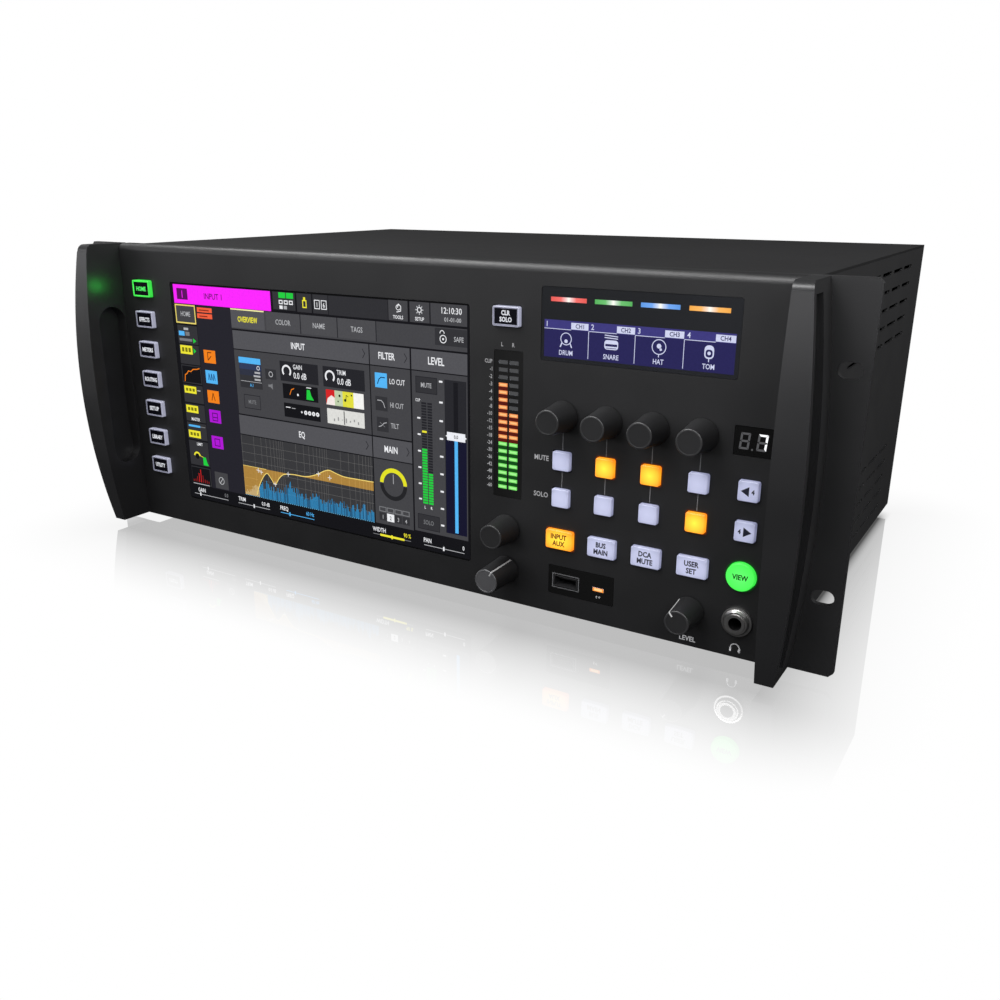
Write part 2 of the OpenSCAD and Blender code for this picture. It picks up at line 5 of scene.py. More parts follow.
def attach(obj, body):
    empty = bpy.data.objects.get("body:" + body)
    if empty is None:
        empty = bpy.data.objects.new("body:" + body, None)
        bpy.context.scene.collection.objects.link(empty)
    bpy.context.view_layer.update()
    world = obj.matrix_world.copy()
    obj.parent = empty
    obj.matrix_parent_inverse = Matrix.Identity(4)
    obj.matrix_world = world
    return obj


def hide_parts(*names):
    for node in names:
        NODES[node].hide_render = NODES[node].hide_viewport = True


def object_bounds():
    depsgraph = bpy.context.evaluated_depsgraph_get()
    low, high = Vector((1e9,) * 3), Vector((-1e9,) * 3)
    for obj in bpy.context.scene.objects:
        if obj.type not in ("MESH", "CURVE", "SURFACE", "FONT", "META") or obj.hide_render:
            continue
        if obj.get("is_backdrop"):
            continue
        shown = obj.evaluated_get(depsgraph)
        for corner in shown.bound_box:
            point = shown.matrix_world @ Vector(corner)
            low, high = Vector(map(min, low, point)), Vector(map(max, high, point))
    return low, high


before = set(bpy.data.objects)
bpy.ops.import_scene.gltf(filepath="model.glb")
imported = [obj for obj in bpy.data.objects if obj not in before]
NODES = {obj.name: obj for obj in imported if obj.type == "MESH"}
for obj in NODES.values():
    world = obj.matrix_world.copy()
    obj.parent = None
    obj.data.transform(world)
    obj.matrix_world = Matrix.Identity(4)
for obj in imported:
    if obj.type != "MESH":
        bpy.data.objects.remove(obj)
cad_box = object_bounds()
scene = bpy.context.scene
scene.view_settings.view_transform = "Standard"

# the panel's own axes in mm (face centre, X right, Y into the case, Z up) to the row frame in m
OY, OZ = -129.25, 93.0
def W(x, y, z):
    return Vector((x / 1000, (y + OY) / 1000, (z + OZ) / 1000))

def lin(c):
    return [((v / 255) / 12.92 if v <= 10.31475 else (((v / 255) + 0.055) / 1.055) ** 2.4) for v in c]

# ------------------------------------------------------------------ camera
yaw, pitch, roll = -0.5523, 0.3310, 0.0019
f = Vector((math.sin(yaw) * math.cos(pitch), math.cos(yaw) * math.cos(pitch), -math.sin(pitch)))
r0 = Vector((math.cos(yaw), -math.sin(yaw), 0))
u0 = r0.cross(f)
r = math.cos(roll) * r0 + math.sin(roll) * u0
u = -math.sin(roll) * r0 + math.cos(roll) * u0
cam_data = bpy.data.cameras.new("camera")
cam_data.sensor_width = 36
cam_data.lens = 36 * 0.9687392
cam_data.shift_x = 0.01195
cam_data.shift_y = 0.01893
cam_data.clip_start = 0.01
cam = bpy.data.objects.new("camera", cam_data)
scene.collection.objects.link(cam)
cam.matrix_world = Matrix(((r.x, u.x, -f.x, 0), (r.y, u.y, -f.y, 0), (r.z, u.z, -f.z, 0), (0, 0, 0, 1)))
cam.location = W(313.9215, -412.7531, 122.4247)
scene.camera = cam

# ------------------------------------------------------------------ materials
def new_mat(name):
    m = bpy.data.materials.new(name)
    m.use_nodes = True
    nt = m.node_tree
    b = nt.nodes["Principled BSDF"]
    return m, nt, b

def coords(nt, scale=1.0):
    tc = nt.nodes.new("ShaderNodeTexCoord")
    mp = nt.nodes.new("ShaderNodeMapping")
    if isinstance(scale, (tuple, list)):
        mp.inputs["Scale"].default_value = scale
    else:
        mp.inputs["Scale"].default_value = (scale, scale, scale)
    nt.links.new(tc.outputs["Object"], mp.inputs["Vector"])
    return mp.outputs["Vector"]

def noise(nt, vec, scale, detail=2.0, rough=0.5):
    n = nt.nodes.new("ShaderNodeTexNoise")
    n.inputs["Scale"].default_value = scale
    n.inputs["Detail"].default_value = detail
    n.inputs["Roughness"].default_value = rough
    nt.links.new(vec, n.inputs["Vector"])
    return n.outputs["Fac"]

def ramp(nt, fac, stops):
    cr = nt.nodes.new("ShaderNodeValToRGB")
    e = cr.color_ramp.elements
    e[0].position, e[0].color = stops[0][0], (*stops[0][1], 1)
    e[1].position, e[1].color = stops[-1][0], (*stops[-1][1], 1)
    for p, c in stops[1:-1]:
        k = e.new(p)
        k.color = (*c, 1)
    nt.links.new(fac, cr.inputs["Fac"])
    return cr.outputs["Color"]

def bump(nt, fac, strength, dist):
    b = nt.nodes.new("ShaderNodeBump")
    b.inputs["Strength"].default_value = strength
    b.inputs["Distance"].default_value = dist
    nt.links.new(fac, b.inputs["Height"])
    return b.outputs["Normal"]

def painted(name, c0, c1, rough=(0.4, 0.5), grain=2600, grain_s=0.25, grain_d=0.00006, spec=0.5, metal=0.0, coat=0.0, mottle=9.0):
    """paint or plastic: two close tones, mottled gloss and a fine grain"""
    m, nt, b = new_mat(name)
    v = coords(nt)
    big = noise(nt, v, mottle, 3)
    fine = noise(nt, v, grain, 2, 0.6)
    nt.links.new(ramp(nt, big, [(0.3, c0), (0.7, c1)]), b.inputs["Base Color"])
    nt.links.new(ramp(nt, noise(nt, v, mottle * 4, 4), [(0.3, (rough[0],) * 3), (0.7, (rough[1],) * 3)]), b.inputs["Roughness"])
    nt.links.new(bump(nt, fine, grain_s, grain_d), b.inputs["Normal"])
    b.inputs["Metallic"].default_value = metal
    b.inputs["Specular IOR Level"].default_value = spec
    b.inputs["Coat Weight"].default_value = coat
    b.inputs["Coat Roughness"].default_value = 0.1
    return m

def brushed(name, c0, c1, rough=0.28, stretch=(300, 6, 6)):
    m, nt, b = new_mat(name)
    v = coords(nt, stretch)
    n = noise(nt, v, 8, 4)
    nt.links.new(ramp(nt, n, [(0.3, c0), (0.7, c1)]), b.inputs["Base Color"])
    nt.links.new(bump(nt, n, 0.15, 0.0001), b.inputs["Normal"])
    b.inputs["Metallic"].default_value = 1.0
    b.inputs["Roughness"].default_value = rough
    return m

_glow = {}
def glow(c, s=1.0, gloss=0.12, vary=0.06):
    """lit colour under a glossy dark surface, for the displays and lit keys; also used as painted light for glowing
    print, unlit segments and spill rings; c is an sRGB triple
    """
    key = (tuple(c), round(s, 3), gloss)
    if key in _glow:
        return _glow[key]
    m, nt, b = new_mat("lit_%02x%02x%02x_%d" % (*[int(x) for x in c], int(s * 100)))
    b.inputs["Base Color"].default_value = (0.004, 0.004, 0.005, 1)
    b.inputs["Roughness"].default_value = 0.22
    b.inputs["Specular IOR Level"].default_value = gloss
    l = lin(c)
    n = noise(nt, coords(nt), 900, 1)
    nt.links.new(ramp(nt, n, [(0.25, [x * (1 - vary) for x in l]), (0.75, [min(1, x * (1 + vary)) for x in l])]), b.inputs["Emission Color"])
    b.inputs["Emission Strength"].default_value = s
    _glow[key] = m
    return m

_ink = {}
def ink(c, rough=0.5):
    key = (tuple(c), rough)
    if key not in _ink:
        l = lin(c)
        _ink[key] = painted("print_%02x%02x%02x" % tuple(int(x) for x in c), [x * 0.93 for x in l], l, (rough, rough + 0.08), 1800, 0.08, 0.00003)
    return _ink[key]

def lit_key(name, centre, mid, edge, s, half, cx, cz, base=(0.25, 0.2, 0.15), rough=0.32):
    """translucent cap lit from behind: bright in the middle, deeper towards the rim"""
    m, nt, b = new_mat(name)
    tc = nt.nodes.new("ShaderNodeTexCoord")
    sub = nt.nodes.new("ShaderNodeVectorMath"); sub.operation = "SUBTRACT"
    w = W(cx, 0, cz)
    sub.inputs[1].default_value = (w.x, 0, w.z)
    nt.links.new(tc.outputs["Object"], sub.inputs[0])
    mul = nt.nodes.new("ShaderNodeVectorMath"); mul.operation = "MULTIPLY"
    mul.inputs[1].default_value = (1000 / half[0], 0, 1000 / half[1])
    nt.links.new(sub.outputs["Vector"], mul.inputs[0])
    ln = nt.nodes.new("ShaderNodeVectorMath"); ln.operation = "LENGTH"
    nt.links.new(mul.outputs["Vector"], ln.inputs[0])
    sc = nt.nodes.new("ShaderNodeMath"); sc.operation = "MULTIPLY"; sc.inputs[1].default_value = 0.72
    nt.links.new(ln.outputs["Value"], sc.inputs[0])
    col = ramp(nt, sc.outputs["Value"], [(0.0, lin(centre)), (0.55, lin(mid)), (1.0, lin(edge))])
    nt.links.new(col, b.inputs["Emission Color"])
    b.inputs["Emission Strength"].default_value = s
    b.inputs["Base Color"].default_value = (*base, 1)
    b.inputs["Roughness"].default_value = rough
    b.inputs["Specular IOR Level"].default_value = 0.4
    n = noise(nt, coords(nt), 1500, 2)
    nt.links.new(bump(nt, n, 0.12, 0.00003), b.inputs["Normal"])
    return m

M = {}
M["panel"] = painted("panel_satin_black", lin((20, 20, 21)), lin((24, 24, 25)), (0.42, 0.49), 3200, 0.30, 0.00005)
M["case"] = painted("case_textured_black", lin((29, 29, 30)), lin((33, 33, 34)), (0.50, 0.54), 1900, 0.5, 0.00009, mottle=14)
M["cover"] = painted("cover_textured_black", lin((18, 18, 19)), lin((21, 21, 22)), (0.53, 0.56), 1900, 0.5, 0.00009, spec=0.34, mottle=14)
M["cheek"] = painted("cheek_satin_black", lin((30, 30, 31)), lin((35, 35, 36)), (0.30, 0.36), 3000, 0.22, 0.00005)
M["ear"] = painted("ear_satin_black", lin((32, 32, 33)), lin((37, 37, 38)), (0.36, 0.44), 3000, 0.25, 0.00005)
M["glass"] = painted("cover_glass_black", (0.0025, 0.0025, 0.003), (0.004, 0.004, 0.0045), (0.10, 0.14), 400, 0.01, 0.00002, spec=0.35)
M["window"] = painted("display_window_smoked", lin((30, 31, 33)), lin((36, 37, 40)), (0.10, 0.14), 400, 0.01, 0.00002, spec=0.4)
M["gloss"] = painted("gloss_black", (0.003, 0.003, 0.003), (0.006, 0.006, 0.006), (0.14, 0.2), 900, 0.03, 0.00003, spec=0.5)
M["mask"] = painted("meter_mask_black", (0.003, 0.003, 0.003), (0.006, 0.006, 0.006), (0.3, 0.4), 1500, 0.1, 0.00004, spec=0.4)
M["plastic"] = painted("moulded_black_plastic", lin((22, 22, 23)), lin((30, 30, 31)), (0.42, 0.55), 1600, 0.35, 0.00008)
M["knob"] = painted("soft_touch_black", lin((20, 20, 21)), lin((26, 26, 27)), (0.5, 0.6), 2400, 0.3, 0.00006, spec=0.4)
M["knobface"] = painted("soft_touch_black_face", lin((30, 30, 31)), lin((36, 36, 37)), (0.5, 0.62), 2000, 0.3, 0.00006, spec=0.4)
# painted highlight: the knobs' front edge is a lighter grey, standing for the light it catches, with a lower roughness
M["knobrim"] = painted("knob_edge_painted_highlight", lin((36, 36, 37)), lin((44, 44, 45)), (0.3, 0.4), 2000, 0.2, 0.00004, spec=0.6)
M["rubber"] = painted("rubber_black", lin((18, 18, 18)), lin((26, 26, 26)), (0.7, 0.85), 900, 0.4, 0.0001, spec=0.3)
M["steel"] = brushed("plain_steel", (0.42, 0.42, 0.44), (0.56, 0.56, 0.58), 0.32)
M["nickel"] = brushed("nickel_plate", (0.62, 0.61, 0.60), (0.74, 0.73, 0.72), 0.3, (60, 60, 60))
M["gold"] = brushed("gold_contacts", (0.6, 0.42, 0.15), (0.75, 0.55, 0.2), 0.25, (60, 60, 60))
M["dark"] = painted("dark_cavity", (0.002, 0.002, 0.002), (0.004, 0.004, 0.004), (0.6, 0.8), 900, 0.1, 0.00005, spec=0.2)
M["board"] = painted("circuit_board_green", (0.01, 0.06, 0.025), (0.015, 0.09, 0.035), (0.3, 0.4), 500, 0.3, 0.0001)
M["screw"] = painted("black_oxide_screw", (0.02, 0.02, 0.021), (0.035, 0.035, 0.036), (0.3, 0.42), 1800, 0.2, 0.00005, metal=0.8)
M["psu"] = brushed("zinc_plated_sheet", (0.4, 0.41, 0.42), (0.55, 0.56, 0.57), 0.4, (20, 20, 20))
M["frost"] = painted("key_rim_translucent", lin((150, 152, 168)), lin((172, 174, 190)), (0.25, 0.35), 1500, 0.1, 0.00003)
M["navy"] = painted("key_window_black", (0.002, 0.002, 0.004), (0.004, 0.004, 0.007), (0.12, 0.2), 1200, 0.05, 0.00002)

def lavender(name, cx, cz, half, k=1.0):
    a = [int(v * k) for v in (190, 194, 224)]
    b_ = [int(v * k) for v in (176, 180, 212)]
    c_ = [int(v * k) for v in (126, 130, 164)]
    return lit_key(name, a, b_, c_, 0.62, half, cx, cz, (0.30, 0.31, 0.40), 0.35)

def amber(name, cx, cz, half):
    return lit_key(name, (255, 226, 60), (255, 186, 36), (248, 122, 10), 1.1, half, cx, cz, (0.3, 0.14, 0.03))

def green(name, cx, cz, half):
    return lit_key(name, (96, 255, 110), (70, 240, 84), (30, 214, 44), 1.0, half, cx, cz, (0.05, 0.25, 0.05))

def assign(node, *mats):
    o = NODES[node]
    o.data.materials.clear()
    for m in mats:
        o.data.materials.append(m)
    return o

# ------------------------------------------------------------------ mesh helpers
def mesh_obj(name, verts, faces, mats, idx=None, smooth=False):
    me = bpy.data.meshes.new(name)
    me.from_pydata([tuple(v) for v in verts], [], faces)
    for m in mats:
        me.materials.append(m)
    if idx:
        me.polygons.foreach_set("material_index", idx)
    if smooth:
        me.polygons.foreach_set("use_smooth", [True] * len(me.polygons))
    me.update()
    o = bpy.data.objects.new(name, me)
    scene.collection.objects.link(o)
    return o

def rrect(w, h, r, n=6):
    """outline of a rounded rectangle about 0,0, anticlockwise from the front"""
    pts = []
    for sx, sz, a0 in ((1, -1, -90), (1, 1, 0), (-1, 1, 90), (-1, -1, 180)):
        for i in range(n + 1):
            a = math.radians(a0 + 90 * i / n)
            pts.append((sx * (w / 2 - r) + r * math.cos(a), sz * (h / 2 - r) + r * math.sin(a)))
    return pts

def ringed(outline_at, levels, cx, cz, cap=True, back=False):
    """skin over outlines; levels is a list of (inset, y), from the back to the front"""
    verts, faces = [], []
    n = None
    for inset, y in levels:
        pts = outline_at(inset)
        n = len(pts)
        verts += [W(cx + x, y, cz + z) for x, z in pts]
    for k in range(len(levels) - 1):
        for i in range(n):
            j = (i + 1) % n
            faces.append((k * n + i, k * n + j, (k + 1) * n + j, (k + 1) * n + i))
    side = len(faces)
    if cap:
        faces.append(tuple((len(levels) - 1) * n + i for i in range(n)))
    if back:
        faces.append(tuple(reversed(range(n))))
    return verts, faces, side

def finish_smooth(o, angle=40):
    """smooth shading with the sharp edges kept"""
    bm = bmesh.new()
    bm.from_mesh(o.data)
    bmesh.ops.recalc_face_normals(bm, faces=bm.faces)
    for fc in bm.faces:
        fc.smooth = True
    for e in bm.edges:
        if len(e.link_faces) == 2 and e.calc_face_angle(0) > math.radians(angle):
            e.smooth = False
    bm.to_mesh(o.data)
    bm.free()
    wn = o.modifiers.new("normals", "WEIGHTED_NORMAL")
    wn.keep_sharp = True
    wn.weight = 80
    return o

def keycap(name, cx, cz, w, h, out, mats, r=0.9, fillet=0.55, dish=0.0, rim=None, inset_depth=0.3, node=None, round_r=None):
    """moulded key: rounded outline, filleted front edge, retaining flange and plunger behind the panel"""
    def outline(i):
        if round_r:
            return [((round_r - i) * math.cos(2 * math.pi * k / 64), (round_r - i) * math.sin(2 * math.pi * k / 64)) for k in range(64)]
        return rrect(w - 2 * i, h - 2 * i, max(0.12, r - i), 6)
    lv = [(-1.2, 4.5), (-1.2, 3.3), (0, 3.3), (0, -out + fillet)]
    for k in range(1, 6):
        a = math.radians(90 * k / 5)
        lv.append((fillet * (1 - math.cos(a)), -out + fillet * (1 - math.sin(a))))
    if rim:
        lv += [(rim, -out), (rim + 0.18, -out + inset_depth)]
    v, fcs, side = ringed(outline, lv, cx, cz, True, True)
    idx = [0] * side + [1 if rim else 0, 0]
    if rim and len(mats) > 2:
        n_ = len(outline(0))
        for k in range(side - 2 * n_, side):
            idx[k] = 2
    # plunger
    base = len(v)
    for y in (4.4, 10.4):
        v += [W(cx + 1.6 * math.cos(2 * math.pi * k / 24), y, cz + 1.6 * math.sin(2 * math.pi * k / 24)) for k in range(24)]
    for k in range(24):
        j = (k + 1) % 24
        fcs.append((base + k, base + 24 + k, base + 24 + j, base + j)); idx.append(0)
    fcs.append(tuple(base + 24 + k for k in range(24))); idx.append(0)
    o = mesh_obj(name, v, fcs, mats, idx)
    finish_smooth(o)
    if node:
        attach(o, node)
        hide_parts(node)
    return o

def lathe(name, cx, cz, prof, mats, idx_of=None, n=96, flute=None):
    """turned piece: prof is a list of (radius, y) from the back to the front centre"""
    v, fcs, idx = [], [], []
    rows = []
    for rr_, y in prof:
        if rr_ < 1e-6:
            rows.append([len(v)]); v.append(W(cx, y, cz))
        else:
            row = []
            for k in range(n):
                a = 2 * math.pi * k / n
                q = rr_
                if flute:
                    q = flute(rr_, y, a)
                row.append(len(v)); v.append(W(cx + q * math.cos(a), y, cz + q * math.sin(a)))
            rows.append(row)
    for s in range(len(rows) - 1):
        a, b = rows[s], rows[s + 1]
        m = idx_of(s) if idx_of else 0
        for k in range(n):
            j = (k + 1) % n
            if len(a) == 1 and len(b) == 1:
                continue
            if len(b) == 1:
                fcs.append((a[k], a[j], b[0]))
            elif len(a) == 1:
                fcs.append((a[0], b[j], b[k]))
            else:
                fcs.append((a[k], a[j], b[j], b[k]))
            idx.append(m)
    o = mesh_obj(name, v, fcs, mats, idx)
    return finish_smooth(o, 35)

class Art:
    """flat printed or lit shapes in front of the plane y (mm); each layer stands a hair nearer the viewer"""
    def __init__(self, name, y, step=0.012):
        self.name, self.y, self.step = name, y, step
        self.v, self.f, self.i, self.m = [], [], [], []
    def mi(self, mat):
        if mat not in self.m:
            self.m.append(mat)
        return self.m.index(mat)
    def poly(self, pts, mat, layer=0):
        b = len(self.v)
        y = self.y - layer * self.step
        self.v += [W(x, y, z) for x, z in pts]
        self.f.append(tuple(range(b, b + len(pts))))
        self.i.append(self.mi(mat))
    def rect(self, x0, z0, x1, z1, mat, layer=0):
        x0, x1 = min(x0, x1), max(x0, x1); z0, z1 = min(z0, z1), max(z0, z1)
        self.poly([(x0, z0), (x1, z0), (x1, z1), (x0, z1)], mat, layer)
    def frame(self, x0, z0, x1, z1, t, mat, layer=0):
        self.rect(x0, z0, x1, z0 + t, mat, layer); self.rect(x0, z1 - t, x1, z1, mat, layer)
        self.rect(x0, z0 + t, x0 + t, z1 - t, mat, layer); self.rect(x1 - t, z0 + t, x1, z1 - t, mat, layer)
    def rr(self, cx, cz, w, h, r, mat, layer=0):
        self.poly([(cx + x, cz + z) for x, z in rrect(w, h, r, 4)], mat, layer)
    def disc(self, cx, cz, r, mat, layer=0, n=32):
        self.poly([(cx + r * math.cos(2 * math.pi * k / n), cz + r * math.sin(2 * math.pi * k / n)) for k in range(n)], mat, layer)
    def arc(self, cx, cz, r0, r1, a0, a1, mat, layer=0, n=28):
        for k in range(n):
            p, q = math.radians(a0 + (a1 - a0) * k / n), math.radians(a0 + (a1 - a0) * (k + 1) / n)
            self.poly([(cx + r0 * math.cos(p), cz + r0 * math.sin(p)), (cx + r1 * math.cos(p), cz + r1 * math.sin(p)),
                       (cx + r1 * math.cos(q), cz + r1 * math.sin(q)), (cx + r0 * math.cos(q), cz + r0 * math.sin(q))], mat, layer)
    def line(self, pts, w, mat, layer=0):
        for (x0, z0), (x1, z1) in zip(pts, pts[1:]):
            d = math.hypot(x1 - x0, z1 - z0)
            if d < 1e-6:
                continue
            nx, nz = (z1 - z0) / d * w / 2, -(x1 - x0) / d * w / 2
            ex_, ez = (x1 - x0) / d * w * 0.2, (z1 - z0) / d * w * 0.2
            self.poly([(x0 + nx - ex_, z0 + nz - ez), (x1 + nx + ex_, z1 + nz + ez), (x1 - nx + ex_, z1 - nz + ez), (x0 - nx - ex_, z0 - nz - ez)], mat, layer)
    def text(self, s, x, z, h, mat, layer=0, align="l", sx=0.85, bold=0.045):
        """cap height h; x, z is the left, middle or right of the base line"""
        cu = bpy.data.curves.new("t", "FONT")
        cu.body = s
        cu.size = h / 0.7
        cu.offset = bold
        cu.resolution_u = 2
        ob = bpy.data.objects.new("t", cu)
        scene.collection.objects.link(ob)
        bpy.context.view_layer.update()
        me = bpy.data.meshes.new_from_object(ob.evaluated_get(bpy.context.evaluated_depsgraph_get()))
        xs = [v.co.x for v in me.vertices] or [0]
        wdt = (max(xs) - min(xs)) * sx
        off = {"l": 0, "c": -wdt / 2, "r": -wdt}[align] - min(xs) * sx
        b = len(self.v)
        y = self.y - layer * self.step
        self.v += [W(x + off + v.co.x * sx, y, z + v.co.y) for v in me.vertices]
        for p in me.polygons:
            vs = list(p.vertices)
            if p.normal.z < 0:
                vs.reverse()
            self.f.append(tuple(b + k for k in vs))
            self.i.append(self.mi(mat))
        bpy.data.objects.remove(ob)
        bpy.data.curves.remove(cu)
        bpy.data.meshes.remove(me)
    def build(self, body="unit", slot=None):
        o = mesh_obj(self.name, self.v, self.f, self.m, self.i)
        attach(o, body)
        return o

# ------------------------------------------------------------------ CAD nodes that stay
assign("front_panel", M["panel"])
assign("top_cover", M["cover"])
assign("chassis_tray", M["case"])
assign("rear_panel", M["case"])
assign("rack_ears", M["ear"])
assign("touch_glass", M["glass"])
assign("display_window", M["window"])
assign("lcd_modules", M["psu"])
assign("light_bars", M["frost"])
assign("meter_mask", M["mask"])
assign("meter_leds", M["frost"])
assign("digit_display", M["gloss"])
assign("usb_plate", M["gloss"])
assign("usb_socket", M["ear"])
assign("phones_jack", M["nickel"])
assign("phones_nut", M["nickel"])
assign("rotary_bodies", M["steel"])
assign("circuit_boards", M["board"])
assign("power_supply", M["psu"])
assign("xlr_inputs", M["plastic"])
assign("xlr_outputs", M["nickel"])
assign("power_inlet", M["plastic"])
assign("network_sockets", M["nickel"])
assign("fan_frame", M["plastic"])
assign("fan_rotor", M["plastic"])
assign("power_rocker", M["case"])
assign("feet", M["rubber"])
assign("screws", M["screw"])
assign("cheek_left", M["cheek"])
assign("cheek_right", M["cheek"])

for node, wdt in (("cheek_left", 0.0007), ("cheek_right", 0.0007), ("rack_ears", 0.0003)):
    mod = NODES[node].modifiers.new("edge", "BEVEL")
    mod.width = wdt
    mod.segments = 2
    mod.limit_method = "ANGLE"
    mod.angle_limit = math.radians(35)
    mod.harden_normals = True

# ------------------------------------------------------------------ keys
COL = [102.7 + 23.45 * i for i in range(5)]
ROW_MUTE, ROW_SOLO, ROW_BANK, ROW_LOW, ROW_ENC = -6.0, -25.15, -47.2, -70.0, 16.5
MENU_X, MENU_Z = -192.6, [61.75 - 18.9 * i for i in range(7)]
lit_sq = {("mute", 1), ("mute", 2), ("solo", 3)}
for i in range(4):
    for row, z in (("mute", ROW_MUTE), ("solo", ROW_SOLO)):
        node = "%s_button_%d" % (row, i + 1)
        mk = amber if (row, i) in lit_sq else lavender
        keycap("cap_" + node, COL[i], z, 9.5, 9.5, 2.0, [mk("lit_" + node, COL[i], z, (4.75, 4.75))], r=1.0, node=node)
    node = "bank_button_%d" % (i + 1)
    mk = amber if i == 0 else lavender
    keycap("cap_" + node, COL[i], ROW_BANK, 15, 10, 2.0, [mk("lit_" + node, COL[i], ROW_BANK, (7.5, 5))], r=1.0, node=node)
for node, z in (("prev_button", ROW_MUTE), ("next_button", ROW_SOLO)):
    keycap("cap_" + node, COL[4], z, 9.5, 9.5, 2.0, [lavender("lit_" + node, COL[4], z, (4.75, 4.75))], r=1.0, node=node)
keycap("cap_view_button", COL[4], ROW_BANK, 13.7, 13.7, 2.0, [green("lit_view_button", COL[4], ROW_BANK, (6.85, 6.85))], node="view_button", round_r=6.85)
rim_white = lit_key("rim_white", (178, 181, 204), (178, 181, 204), (170, 173, 196), 0.5, (7.5, 5), MENU_X, 0, (0.3, 0.3, 0.36))
rim_front = lit_key("rim_front", (128, 130, 150), (128, 130, 150), (120, 122, 142), 0.42, (7.5, 5), MENU_X, 0, (0.16, 0.16, 0.2))
rim_green = lit_key("rim_green", (60, 240, 80), (50, 230, 70), (40, 215, 60), 0.9, (7.5, 5), MENU_X, MENU_Z[0], (0.05, 0.2, 0.05))
for i in range(7):
    node = "menu_button_%d" % (i + 1)
    keycap("cap_" + node, MENU_X, MENU_Z[i], 15, 10, 2.5, [rim_green, M["navy"]] if i == 0 else [rim_white, M["navy"], rim_front], r=0.9, fillet=0.35, rim=0.85, node=node)
keycap("cap_clear_solo_button", 70.7, 62.5, 14.8, 9.6, 2.5, [rim_white, M["navy"], rim_front], r=0.9, fillet=0.35, rim=0.85, node="clear_solo_button")

white = glow((236, 238, 245), 0.9)
def label(name, body, y, items, mat, sx=0.85):
    a = Art(name, y)
    for s, x, z, h in items:
        a.text(s, x, z, h, mat, 0, "c", sx, 0.13)
    a.build(body)
names = ["HOME", "EFFECTS", "METERS", "ROUTING", "SETUP", "LIBRARY", "UTILITY"]
for i, s in enumerate(names):
    h = 2.5
    label("legend_menu_%d" % (i + 1), "menu_button_%d" % (i + 1), -2.5 + 0.3 - 0.03, [(s, MENU_X, MENU_Z[i] - h / 2, h)],
          glow((90, 255, 110), 1.0) if i == 0 else white, {4: 0.86, 5: 0.86, 6: 0.8, 7: 0.7}[len(s)])
label("legend_clear", "clear_solo_button", -2.23, [("CLR", 70.7, 63.2, 2.2), ("SOLO", 70.7, 60.0, 2.2)], white)
dark_ink = ink((14, 16, 40))
for i, (s, t) in enumerate((("INPUT", "AUX"), ("BUS", "MAIN"), ("DCA", "MUTE"), ("USER", "SET"))):
    label("legend_bank_%d" % (i + 1), "bank_button_%d" % (i + 1), -2.02, [(s, COL[i], ROW_BANK + 0.5, 2.6), (t, COL[i], ROW_BANK - 3.1, 2.6)],
          ink((104, 50, 8)) if i == 0 else dark_ink)
a = Art("legend_prev", -2.02)
a.poly([(COL[4] - 3.3, ROW_MUTE), (COL[4] + 0.5, ROW_MUTE - 2.3), (COL[4] + 0.5, ROW_MUTE + 2.3)], dark_ink)
a.text("4", COL[4] + 2.3, ROW_MUTE - 1.0, 2.1, dark_ink, 0, "c", 0.9, 0.12)
a.build("prev_button")
a = Art("legend_next", -2.02)
a.poly([(COL[4] + 3.3, ROW_SOLO), (COL[4] - 0.5, ROW_SOLO + 2.3), (COL[4] - 0.5, ROW_SOLO - 2.3)], dark_ink)
a.text("4", COL[4] - 2.3, ROW_SOLO - 1.0, 2.1, dark_ink, 0, "c", 0.9, 0.12)
a.build("next_button")
label("legend_view", "view_button", -2.02, [("VIEW", COL[4], ROW_BANK - 1.2, 2.5)], ink((12, 70, 20)))

